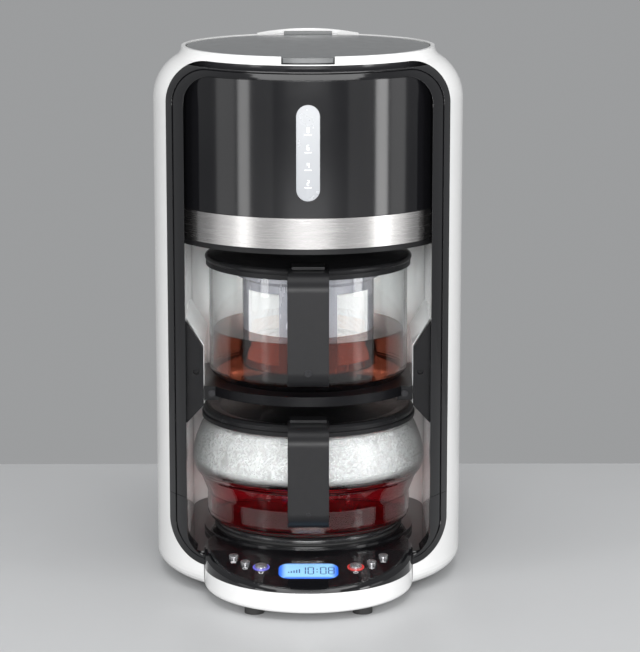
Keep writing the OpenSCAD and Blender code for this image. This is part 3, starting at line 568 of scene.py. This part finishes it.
def turned(name, outline, finish, body, smooth=True):
    """A closed piece in a jug, turned from an outline of (radius, height) points round the jugs' axis."""
    steps = 160
    shape = bmesh.new()
    rings = [ring(shape, radius, height, steps) for radius, height in outline]
    for first, second in zip(rings, rings[1:] + rings[:1]):
        if len(first) == 1 and len(second) == 1:
            continue
        for i in range(steps):
            j = (i + 1) % steps
            corners = [first[i % len(first)], first[j % len(first)],
                       second[j % len(second)], second[i % len(second)]]
            # two corners on the axis are one, which leaves a triangle
            shape.faces.new(list(dict.fromkeys(corners)))
    piece(name, as_mesh(name, shape), finish, body, smooth)


def arc(radius, centre=(0.0, 0.0), start=0.0, end=360.0, steps=20):
    """Points on a circle, angles in degrees."""
    angles = [math.radians(start + (end - start) * i / steps) for i in range(steps + 1)]
    return [(centre[0] + radius * math.cos(a), centre[1] + radius * math.sin(a)) for a in angles]


# ---- geometry nodes ----

class Recipe(Nodes):
    """A Geometry Nodes tree with named inputs for its sizes."""

    def __init__(self, name, **sizes):
        super().__init__(bpy.data.node_groups.new(name, "GeometryNodeTree"))
        face = self.tree.interface
        face.new_socket("Geometry", in_out="INPUT", socket_type="NodeSocketGeometry")
        face.new_socket("Geometry", in_out="OUTPUT", socket_type="NodeSocketGeometry")
        for label, value in sizes.items():
            kind = "NodeSocketInt" if isinstance(value, int) else "NodeSocketFloat"
            face.new_socket(label, in_out="INPUT", socket_type=kind)
        self.sizes = sizes
        self.start = self.tree.nodes.new("NodeGroupInput")
        self.end = self.tree.nodes.new("NodeGroupOutput")

    def given(self, label):
        """An input of the tree."""
        return Value(self, self.start.outputs[label])

    def join(self, *parts):
        joined = self.node("GeometryNodeJoinGeometry")
        for part in parts:
            self.feed(joined.socket.node.inputs[0], part)
        return joined

    def vector(self, x=0.0, y=0.0, z=0.0):
        return self.node("ShaderNodeCombineXYZ", {"X": x, "Y": y, "Z": z})

    def grow(self, name, shape, finish, body, slot, base=None, smooth=True):
        """Ends the tree, runs it and keeps the result as a plain piece."""
        solid = self.node("GeometryNodeRealizeInstances", {"Geometry": shape})
        coated = self.node("GeometryNodeSetMaterial", {"Geometry": solid, "Material": finish.material})
        self.feed(self.end.inputs[0], coated)
        plan = new_object(name + "_plan", base or bpy.data.meshes.new(name + "_plan"))
        modifier = plan.modifiers.new("Recipe", "NODES")
        modifier.node_group = self.tree
        for socket in self.tree.interface.items_tree:
            if socket.in_out == "INPUT" and socket.name in self.sizes:
                modifier[socket.identifier] = self.sizes[socket.name]
        view = bpy.context.evaluated_depsgraph_get()
        mesh = bpy.data.meshes.new_from_object(plan.evaluated_get(view))
        bpy.data.objects.remove(plan)
        piece(name, mesh, finish, body, smooth)


# ---- strokes and digits ----

class PanelPlane:
    """Plane of the sloping control panel, read from the buttons' travel and the display."""

    def __init__(self):
        self.normal = -Vector(joint("menu_press")["axis"]).normalized()
        self.across = Vector((1, 0, 0))
        self.back = self.normal.cross(self.across)
        window_proud = 0.3 * MM
        heights = [self.normal.dot(v.co) for v in NODES["display_window"].data.vertices]
        self.level = max(heights) - window_proud
        self.display = self.foot(middle("display_window"))

    def foot(self, point):
        """The panel's point under or over a point."""
        return point + self.normal * (self.level - self.normal.dot(point))

    def place(self, origin, across, back, rise):
        return origin + self.across * across + self.back * back + self.normal * rise


PANEL = PanelPlane()


def strokes(name, lines, width, thickness, place, ink):
    """A piece of flat bars along polylines of (across, back) points, laid down by place()."""
    bars = bmesh.new()
    for line in lines:
        for (x0, y0), (x1, y1) in zip(line, line[1:]):
            along = Vector((x1 - x0, y1 - y0)).normalized() * width / 2
            side = Vector((-along.y, along.x))
            ends = [Vector((x0, y0)) - along, Vector((x1, y1)) + along]
            outline = [ends[0] - side, ends[1] - side, ends[1] + side, ends[0] + side]
            floor = [bars.verts.new(place(p.x, p.y, 0.0)) for p in outline]
            roof = [bars.verts.new(place(p.x, p.y, thickness)) for p in outline]
            bars.faces.new(roof)
            bars.faces.new(floor[::-1])
            for i in range(4):
                j = (i + 1) % 4
                bars.faces.new((floor[i], floor[j], roof[j], roof[i]))
    piece(name, as_mesh(name, bars), ink, "body", smooth=False)


SEGMENTS = {"0": "abcdef", "1": "bc", "2": "abged", "3": "abgcd", "4": "fgbc", "5": "afgcd",
            "6": "afgedc", "7": "abc", "8": "abcdefg", "9": "abfgcd"}


def digit_lines(text, height):
    """Strokes of seven-segment digits and colons, centred on the drawing's origin."""
    wide = height * 0.36
    step = wide * 1.5
    gap = height * 0.07
    half = height / 2
    bars = {"a": ((gap, height), (wide - gap, height)), "b": ((wide, height - gap), (wide, half + gap)),
            "c": ((wide, half - gap), (wide, gap)), "d": ((gap, 0), (wide - gap, 0)),
            "e": ((0, gap), (0, half - gap)), "f": ((0, half + gap), (0, height - gap)),
            "g": ((gap, half), (wide - gap, half))}
    widths = [step * 0.55 if sign == ":" else step for sign in text]
    start = -sum(widths) / 2 + (step - wide) / 2
    lines = []
    for sign, width in zip(text, widths):
        if sign == ":":
            dot_x = start + width / 2 - (step - wide) / 2
            for level in (0.3, 0.7):
                lines.append([(dot_x, height * level - gap / 2), (dot_x, height * level + gap / 2)])
        else:
            for segment in SEGMENTS[sign]:
                lines.append([(start + x, y) for x, y in bars[segment]])
        start += width
    return [[(x, y - half) for x, y in line] for line in lines]


# ---- pieces ----

def settings(context):
    return context.scene.tea_maker


class TEA_OT_finishes(Operator):
    """Gives every moulding and metal part its finish"""
    bl_idname = "tea_maker.finishes"
    bl_label = "Finishes"

    def execute(self, context):
        look = settings(context).finish
        fine = 0.000012
        # how far the brushing is drawn out in the level directions
        unbrushed, faint, strong = (1, 1, 1), (0.3, 0.3, 1), (0.02, 0.02, 1.0)
        dress(gloss_plastic("Casing white", look.shell_white, 0.12),
              "shell_left", "shell_right", "shell_rear", "hinge_cover", "front_skirt")
        dress(gloss_plastic("Recess white", look.recess_white, 0.07), "recess_liner")
        dress(gloss_plastic("Frame black", look.gloss_black, 0.10),
              "bezel_upper", "bezel_foot_left", "bezel_foot_right")
        dress(gloss_plastic("Tank front black", look.gloss_black, 0.12, wave=0.000008), "tank_front")
        dress(gloss_plastic("Deck black", look.gloss_black, 0.07), "control_deck")
        dress(grained_plastic("Shelf black", look.gloss_black, 0.3, depth=fine, shine=0.12),
              "arm_left", "arm_right", "brew_shelf", "valve_housing")
        dress(grained_plastic("Satin black", look.satin_black),
              "tank_base", "brew_collar", "serve_collar", "brew_handle", "serve_handle")
        dress(grained_plastic("Jug lid black", look.satin_black, 0.24, depth=fine), "brew_lid", "serve_lid")
        dress(grained_plastic("Lid grey", look.lid_grey, 0.22, depth=fine, shine=0.5), "tank_lid")
        dress(gloss_plastic("Tank smoke", (0.03, 0.03, 0.033), 0.15), "water_tank", "tank_rim")
        dress(frosted_window("Gauge window"), "gauge_window")
        dress(brushed_metal("Band steel", look.steel, strong, 0.26), "steel_band")
        dress(brushed_metal("Screw steel", (0.45, 0.45, 0.46), unbrushed, 0.34), "hinge_pin", "base_screws")
        # near-black steel; on the handle screws its darkness is also painted shade of the holes they sit in
        dress(brushed_metal("Blackened steel", (0.03, 0.03, 0.032), unbrushed, 0.42),
              "shelf_screws", "brew_handle_screw", "serve_handle_screw")
        dress(brushed_metal("Heater metal", (0.6, 0.6, 0.6), faint, 0.4), "tank_heater", "plate_heater")
        dress(enamel("Plate enamel", (0.012, 0.012, 0.013)), "hot_plate")
        dress(grained_plastic("Inner plastic", (0.12, 0.12, 0.125), 0.45),
              "tank_valve", "spray_head", "drip_nozzle", "plate_sensor", "base_plate", "brew_valve_seat")
        dress(wound_copper("Magnet coil"), "valve_magnet")
        dress(rubber("Seal rubber", (0.02, 0.02, 0.02)), "plate_seal", "feet", "cord_gland")
        dress(rubber("Valve red", (0.5, 0.05, 0.04)), "brew_valve_plunger")
        dress(circuit_board("Board green"), "display_module", "control_board")
        return {"FINISHED"}


class TEA_OT_buttons(Operator):
    """Finishes the buttons, their light rings and the display window"""
    bl_idname = "tea_maker.buttons"
    bl_label = "Buttons and lights"

    def execute(self, context):
        look = settings(context)
        tilt = (-math.acos(PANEL.normal.z), 0, 0)
        for name in ("menu", "time", "program", "start", "plus", "minus"):
            node = name + "_button"
            dress(turned_metal(name.capitalize() + " button", look.finish.silver, middle(node), tilt), node)
        dress(lit_ring("Violet ring", (0.13, 0.12, 0.55), 0.16), "program_ring")
        dress(lit_ring("Red ring", (0.55, 0.05, 0.045), 0.12), "start_ring")
        dress(lit_window("Display light", look.display, "display_window"), "display_window")
        return {"FINISHED"}


class TEA_OT_glass(Operator):
    """Gives both jugs their clear glass"""
    bl_idname = "tea_maker.glass"
    bl_label = "Jug glass"

    def execute(self, context):
        mist_start, mist_end = 80 * MM, high("serve_glass") + 3 * MM
        dress(clear_glass("Brewing glass"), "brew_glass")
        dress(misted_glass("Serving glass", mist_start, mist_end), "serve_glass")
        return {"FINISHED"}


class TEA_OT_tea(Operator):
    """Fills both jugs and the tea filter"""
    bl_idname = "tea_maker.tea"
    bl_label = "Tea"

    def execute(self, context):
        fill = settings(context).tea
        self.brewing(fill, fill.brew_level, fill.clearance)
        self.serving(fill, fill.serve_level, fill.clearance)
        return {"FINISHED"}

    def brewing(self, fill, level, gap):
        """Tea round the filter, and tea inside it."""
        floor = low("brew_glass") + BREW_FLOOR + gap
        wall = BREW_RADIUS - GLASS_WALL - gap
        corner = GLASS_CORNER - GLASS_WALL
        filter_radius = high("tea_filter", 0) - FILTER_FLANGE
        filter_floor = low("tea_filter")
        valve = high("brew_valve_seat", 0) + gap
        over_valve = high("brew_valve_plunger") + joint("brew_valve_lift")["range_m"][1] + gap
        # how the tea's edge and the filter's foot are bevelled: inwards and upwards
        edge_in, edge_up, foot_in, foot_up = 0.8 * MM, 0.6 * MM, 1 * MM, 2 * MM
        outline = [(0, over_valve), (valve, over_valve), (valve, floor)]
        outline += arc(corner, (wall - corner, floor + corner), -90, 0, CORNER_STEPS)
        outline += [(wall, level - edge_up), (wall - edge_in, level), (filter_radius + gap, level),
                    (filter_radius + gap, filter_floor + foot_up),
                    (filter_radius - foot_in, filter_floor - gap), (0, filter_floor - gap)]
        turned("brewing_tea", outline, liquid("Brewing tea", fill.brew_colour), "brew_jug")
        top = liquid("Brewing tea surface", fill.brew_colour, WATER_IOR)
        outer = wall - edge_in - 0.1 * MM
        self.surface("brewing_tea_top", filter_radius + gap, outer, level, top, "brew_jug")
        inside = filter_radius - FILTER_WALL - gap
        bottom = filter_floor + FILTER_WALL + gap
        outline = [(0, bottom), (inside, bottom), (inside, level), (0, level)]
        turned("filter_tea", outline, liquid("Filter tea", (0.97, 0.62, 0.42)), "tea_filter", smooth=False)

    def serving(self, fill, level, gap):
        """Tea in the serving jug, following the inside of its glass."""
        corner = GLASS_CORNER - GLASS_WALL
        floor = low("serve_glass") + GLASS_WALL + gap
        foot = SERVE_FOOT_RADIUS - GLASS_WALL - gap
        belly = (SERVE_RADIUS - BELLY_BEND, BELLY_HEIGHT)
        belly_start = -48
        belly_end = math.degrees(math.asin((level - BELLY_HEIGHT) / (BELLY_BEND - GLASS_WALL)))
        outline = [(0, floor)] + arc(corner, (foot - corner, floor + corner), -90, 0, CORNER_STEPS)
        outline += [(foot, low("serve_glass") + SERVE_FOOT_HEIGHT)]
        outline += arc(BELLY_BEND - GLASS_WALL - gap, belly, belly_start, belly_end, CORNER_STEPS)
        edge = outline[-1][0] - 0.1 * MM
        outline += [(0, level)]
        turned("serving_tea", outline, liquid("Serving tea", fill.serve_colour), "serve_jug")
        top = liquid("Serving tea surface", fill.serve_colour, WATER_IOR)
        self.surface("serving_tea_top", 0, edge, level, top, "serve_jug")

    def surface(self, name, inner, outer, level, finish, body):
        """Thin disc on top of the tea, where it meets the air."""
        start, end = level + 0.05 * MM, level + 0.25 * MM
        turned(name, [(inner, start), (outer, start), (outer, end), (inner, end)], finish, body, smooth=False)


class TEA_OT_droplets(Operator):
    """Film and droplets that steam leaves inside the serving jug"""
    bl_idname = "tea_maker.droplets"
    bl_label = "Steam and droplets"

    def execute(self, context):
        fill = settings(context).tea
        over_tea, under_rim, film_gap, film_inside = 1 * MM, 3.4 * MM, 0.1 * MM, 0.2 * MM
        start, end = fill.serve_level + over_tea, high("serve_glass") - under_rim
        outside = self.glass_inside(start, film_gap)
        inside = self.glass_inside(start, film_inside)
        film = steam("Steam", fill.steam_cover, start, end)
        turned("steam_film", outside + inside[::-1], film, "serve_jug")
        area = 2 * math.pi * SERVE_RADIUS * (end - start)
        recipe = Recipe("Droplets", Density=fill.droplets / area, Radius=fill.droplet_radius, Seed=7)
        points = recipe.node("GeometryNodeDistributePointsOnFaces",
                             {"Mesh": recipe.given("Geometry"), "Density": recipe.given("Density"),
                              "Seed": recipe.given("Seed")}, distribute_method="RANDOM")
        bead = recipe.node("GeometryNodeMeshIcoSphere", {"Radius": recipe.given("Radius"), "Subdivisions": 2})
        grain = recipe.node("FunctionNodeRandomValue", {2: 0.22, 3: 1.0}, 1, data_type="FLOAT")
        # most droplets are small, and all are flat against the glass
        scale = grain ** 2.2
        flat = recipe.vector(scale, scale, scale * 0.35)
        turn = Value(recipe, points.socket.node.outputs["Rotation"])
        seated = recipe.node("GeometryNodeInstanceOnPoints",
                             {"Points": points, "Instance": bead, "Scale": flat, "Rotation": turn})
        finish = clear_glass("Water droplets")
        recipe.grow("droplets", seated, finish, "serve_jug", "jug_glass", base=self.band(inside[2:]))
        return {"FINISHED"}

    def glass_inside(self, start, gap):
        """Inside of the serving glass from a height up to its neck, moved in by a gap."""
        belly = SERVE_RADIUS - GLASS_WALL - gap
        rise = high("serve_glass") - 119 * MM
        # how far in from the belly and how high, in mm, for a rim 119 mm up
        bends = ((0.5, 83), (0, 86), (0.6, 92), (2.8, 100), (6.4, 109), (9.4, 113.5), (9.4, 115.6))
        outline = [(belly - inset * MM, height * MM + rise) for inset, height in bends]
        return [(belly - 1.3 * MM, start)] + outline

    def band(self, profile):
        """Open strip that follows the inside of the glass, facing the jug's axis."""
        steps = 96
        strip = bmesh.new()
        rings = [ring(strip, radius, height, steps) for radius, height in profile]
        for first, second in zip(rings, rings[1:]):
            for i in range(steps):
                j = (i + 1) % steps
                strip.faces.new((first[j], first[i], second[i], second[j]))
        return as_mesh("droplet_band", strip, outward=False)


class TEA_OT_filter_mesh(Operator):
    """Weaves the fine mesh in the filter's four windows"""
    bl_idname = "tea_maker.filter_mesh"
    bl_label = "Filter mesh"

    def execute(self, context):
        look = settings(context)
        dress(smoked_plastic("Filter smoke", look.finish.smoke), "tea_filter")
        weave = look.filter
        window_low, window_high = low("tea_filter") + 6 * MM, 213 * MM
        window_half_width = 16 * MM
        radius = 47 * MM
        half_angle = math.asin(window_half_width / radius)
        rows = int((window_high - window_low) / weave.wire_step)
        columns = int(2 * half_angle * radius / weave.wire_step)
        recipe = Recipe("Woven mesh", Wire=weave.wire_radius, Step=weave.wire_step, Radius=radius,
                        Low=window_low, High=window_high, Half=half_angle, Rows=rows,
                        Columns=columns, Windows=4)
        add, given, vector = recipe.node, recipe.given, recipe.vector
        wire, bottom, top, half_turn = given("Wire"), given("Low"), given("High"), given("Half")
        round_wire = add("GeometryNodeCurvePrimitiveCircle", {"Resolution": 5, "Radius": wire}, mode="RADIUS")
        bow = {"Radius": given("Radius"), "Start Angle": half_turn * -1.0, "Sweep Angle": half_turn * 2}
        weft_line = add("GeometryNodeCurveArc", {**bow, "Resolution": 14}, mode="RADIUS")
        weft = add("GeometryNodeCurveToMesh", {"Curve": weft_line, "Profile Curve": round_wire})
        ladder = add("GeometryNodeMeshLine", {"Count": given("Rows"), "Start Location": vector(z=bottom),
                                              "Offset": vector(z=given("Step"))})
        wefts = add("GeometryNodeInstanceOnPoints", {"Points": ladder, "Instance": weft})
        foot_line = add("GeometryNodeCurveArc", {**bow, "Resolution": given("Columns")}, mode="RADIUS")
        feet = add("GeometryNodeCurveToMesh", {"Curve": foot_line})
        warp = add("GeometryNodeMeshCylinder", {"Vertices": 5, "Radius": wire, "Depth": top - bottom})
        warps = add("GeometryNodeInstanceOnPoints", {"Points": feet, "Instance": warp})
        half_way = vector(z=(bottom + top) * 0.5)
        raised = add("GeometryNodeTransform", {"Geometry": warps, "Translation": half_way})
        window = recipe.join(wefts, raised)
        hub = add("GeometryNodeMeshLine", {"Count": given("Windows"), "Offset": (0, 0, 0)})
        quarter = vector(z=add("GeometryNodeInputIndex") * (math.pi / 2) + math.pi / 4)
        windows = add("GeometryNodeInstanceOnPoints",
                      {"Points": hub, "Instance": window, "Rotation": quarter})
        placed = add("GeometryNodeTransform", {"Geometry": windows, "Translation": tuple(JUG_AXIS)})
        finish = printed("Filter mesh", (0.78, 0.78, 0.78))
        recipe.grow("filter_mesh", placed, finish, "tea_filter", "filter_smoke", smooth=False)
        return {"FINISHED"}


class TEA_OT_display(Operator):
    """Digits and small bars on the display"""
    bl_idname = "tea_maker.display"
    bl_label = "Display digits"

    def execute(self, context):
        look = settings(context).display
        ink = printed("Display ink", look.ink_colour)
        half_width = half("display_window", 0)
        proud = 0.32 * MM
        thin = 0.04 * MM
        shift = half_width * 0.27

        def place(x, y, z):
            return PANEL.place(PANEL.display, x, y, proud + z)

        digits = [[(x + shift, y) for x, y in line]
                  for line in digit_lines(look.time_shown, look.digit_height)]
        strokes("display_digits", digits, 0.75 * MM, thin, place, ink)
        left, bottom, lowest_top, spacing = -half_width * 0.62, -3.2 * MM, -2.2, 1.9 * MM
        bars = [[(left + i * spacing, bottom), (left + i * spacing, (i + lowest_top) * MM)] for i in range(5)]
        strokes("display_bars", bars, 0.8 * MM, thin, place, ink)
        return {"FINISHED"}


class TEA_OT_marks(Operator):
    """Plain signs printed beside the buttons"""
    bl_idname = "tea_maker.marks"
    bl_label = "Panel marks"

    def execute(self, context):
        look = settings(context).display
        paint = printed("Panel print", look.mark_colour)
        size = 1.5 * MM
        thickness = 0.05 * MM
        below_button = 3.4 * MM
        level = [(-size, 0), (size, 0)]
        bars = [[(-size, y), (size, y)] for y in (-size * 0.7, 0, size * 0.7)]
        clock = [arc(size), [(0, size * 0.7), (0, 0), (size * 0.5, 0)]]
        cup = [[(-size, size * 0.8), (-size * 0.7, -size), (size * 0.7, -size), (size, size * 0.8)]]
        power = [arc(size, start=120, end=420), [(0, 0), (0, size * 1.2)]]
        signs = {"menu": bars, "time": clock, "program": cup, "start": power,
                 "plus": [level, [(0, -size), (0, size)]], "minus": [level]}
        for name, sign in signs.items():
            node = name + "_button"
            centre = PANEL.foot(middle(node))
            reach = half(node, 0) + below_button

            def place(x, y, z, centre=centre, reach=reach):
                return PANEL.place(centre, x, y - reach, z + 0.01 * MM)

            strokes(name + "_mark", sign, look.mark_stroke, thickness, place, paint)
        return {"FINISHED"}


class TEA_OT_gauge(Operator):
    """Level marks and digits on the gauge window"""
    bl_idname = "tea_maker.gauge"
    bl_label = "Gauge marks"

    def execute(self, context):
        look = settings(context).display
        paint = printed("Gauge print", (0.93, 0.94, 0.95))
        radius = BODY_AXIS.y - low("gauge_window", 1)
        first = low("gauge_window") + 15 * MM
        step = 12.2 * MM
        digit_height = 3.4 * MM

        def place(x, y, z):
            ahead = math.sqrt(radius * radius - x * x)
            return Vector((x, BODY_AXIS.y - ahead - z - 0.01 * MM, y))

        recipe = Recipe("Gauge ticks", Step=step, Low=first - digit_height, Count=4,
                        Width=5 * MM, Stroke=0.6 * MM)
        size = recipe.vector(recipe.given("Width"), 0.4 * MM, recipe.given("Stroke"))
        plate = recipe.node("GeometryNodeMeshCube", {"Size": size})
        lowest = recipe.vector(y=BODY_AXIS.y - radius + 0.1 * MM, z=recipe.given("Low"))
        rows = recipe.node("GeometryNodeMeshLine", {"Count": recipe.given("Count"), "Start Location": lowest,
                                        "Offset": recipe.vector(z=recipe.given("Step"))})
        ticks = recipe.node("GeometryNodeInstanceOnPoints", {"Points": rows, "Instance": plate})
        recipe.grow("gauge_ticks", ticks, paint, "body", "gauge_clear", smooth=False)
        for i, digit in enumerate("2468"):
            lines = [[(x, y + first + i * step) for x, y in line]
                     for line in digit_lines(digit, digit_height)]
            strokes("gauge_digit_" + digit, lines, look.mark_stroke, 0.05 * MM, place, paint)
        return {"FINISHED"}


# ---- studio ----

class TEA_OT_stage(Operator):
    """Pale table, plain background, soft lamps and the camera"""
    bl_idname = "tea_maker.stage"
    bl_label = "Stage"

    def execute(self, context):
        scene, studio = context.scene, settings(context).studio
        self.table(studio)
        self.background(scene, studio)
        self.lamps(studio)
        self.camera(scene, studio)
        scene.view_settings.view_transform = "Standard"
        return {"FINISHED"}

    def table(self, studio):
        """Table top with a softly brushed pale surface."""
        half_width, front, back = 2.6, -2.6, 0.315
        corners = [(-half_width, front), (half_width, front), (half_width, back), (-half_width, back)]
        mesh = bpy.data.meshes.new("table")
        mesh.from_pydata([(x, y, 0.0) for x, y in corners], [], [(0, 1, 2, 3)])
        table = new_object("table", mesh)
        finish = Finish("Table", specular_ior_level=0.4)
        brushed = finish.noise(0.0015, 3, stretch=(0.06, 1, 1))
        cloudy = finish.noise(0.25, 2)
        tone = finish.blend(brushed * 0.5 + cloudy * 0.5, shade(studio.floor_colour, 0.93),
                            shade(studio.floor_colour, 1.06))
        finish.set(base_color=tone, roughness=brushed * 0.1 + 0.32)
        mesh.materials.append(finish.material)

    def background(self, scene, studio):
        """World that lights softly and looks plain grey to the camera."""
        world = bpy.data.worlds.new("Studio")
        world.use_nodes = True
        world.node_tree.nodes.clear()
        scene.world = world
        sky = Nodes(world.node_tree)
        seen = sky.node("LightPath", output="Is Camera Ray")
        for ray in ("Is Glossy Ray", "Is Transmission Ray"):
            seen = seen.larger(sky.node("LightPath", output=ray))
        soft = sky.node("Background", {"Color": (0.95, 0.97, 1.0, 1.0), "Strength": studio.sky_strength})
        wall = sky.node("Background", {"Color": opaque(studio.wall_colour)})
        sky.node("OutputWorld", {"Surface": sky.node("MixShader", {0: seen, 1: soft, 2: wall})})

    def lamp(self, name, place, aim, width, height, power):
        """Soft box at a place, turned towards a point."""
        light = bpy.data.lights.new(name, "AREA")
        light.shape = "RECTANGLE"
        light.size = width
        light.size_y = height
        light.energy = power
        stand = new_object(name, light)
        stand.location = place
        stand.rotation_euler = (Vector(aim) - Vector(place)).to_track_quat("-Z", "Y").to_euler()

    def lamps(self, studio):
        """Three tall lamps side by side on each side, one overhead and one in front."""
        centre = BODY_AXIS + Vector((0, 0, 0.2))
        height, raised, reach = 1.25, 0.28, 1.2
        # name, angle from the front in degrees, width, power in watts
        stands = (("Left strip", -50, 0.2, 3.6), ("Left box", -66, 0.36, 1.5), ("Left fill", -36, 0.4, 0.5),
                  ("Right strip", 58, 0.22, 5.6), ("Right box", 73, 0.3, 1.6), ("Right fill", 40, 0.4, 0.8))
        for name, degrees, width, power in stands:
            angle = math.radians(degrees)
            place = centre + Vector((reach * math.sin(angle), -reach * math.cos(angle), raised))
            self.lamp(name, place, (centre.x, centre.y, place.z), width, height, power * studio.side_power)
        self.lamp("Top box", centre + Vector((0, -0.25, 1.3)), centre, 1.1, 1.1, studio.top_power)
        self.lamp("Front box", centre + Vector((0, -2.2, 0.34)), centre, 1.3, 0.5, studio.front_power)

    def camera(self, scene, studio):
        """Camera of the photograph: in front, slightly above, looking down a little."""
        lens = bpy.data.cameras.new("Camera")
        lens.sensor_fit = "VERTICAL"
        lens.sensor_height = 36
        lens.lens = studio.lens
        lens.clip_start = 0.05
        view = new_object("Camera", lens)
        view.location = (0.0, BODY_AXIS.y - studio.distance, studio.height)
        view.rotation_euler = (math.pi / 2 - studio.pitch, 0.0, -studio.yaw)
        scene.camera = view


class TeaMakerSettings(PropertyGroup):
    """All settings of the tea maker's looks."""

    tea: PointerProperty(type=TeaSettings)
    filter: PointerProperty(type=FilterSettings)
    display: PointerProperty(type=DisplaySettings)
    finish: PointerProperty(type=FinishSettings)
    studio: PointerProperty(type=StudioSettings)


STEPS = (TEA_OT_finishes, TEA_OT_buttons, TEA_OT_glass, TEA_OT_filter_mesh, TEA_OT_tea, TEA_OT_droplets,
         TEA_OT_display, TEA_OT_marks, TEA_OT_gauge, TEA_OT_stage)


class TEA_PT_panel(Panel):
    """Lists the steps and the settings in the sidebar"""
    bl_idname = "TEA_PT_panel"
    bl_label = "Tea maker"
    bl_space_type = "VIEW_3D"
    bl_region_type = "UI"
    bl_category = "Tea Maker"

    def draw(self, context):
        for step in STEPS:
            self.layout.operator(step.bl_idname)
        for group in ("tea", "filter", "display", "finish", "studio"):
            box = self.layout.box()
            values = getattr(settings(context), group)
            for name in values.bl_rna.properties.keys():
                if name not in ("name", "rna_type"):
                    box.prop(values, name)


CLASSES = (TeaSettings, FilterSettings, DisplaySettings, FinishSettings, StudioSettings,
           TeaMakerSettings, *STEPS, TEA_PT_panel)


def register():
    for part in CLASSES:
        bpy.utils.register_class(part)
    bpy.types.Scene.tea_maker = PointerProperty(type=TeaMakerSettings)


def unregister():
    del bpy.types.Scene.tea_maker
    for part in reversed(CLASSES):
        bpy.utils.unregister_class(part)


def main():
    register()
    for step in STEPS:
        group, name = step.bl_idname.split(".")
        getattr(getattr(bpy.ops, group), name)()


if __name__ == "__main__":
    main()
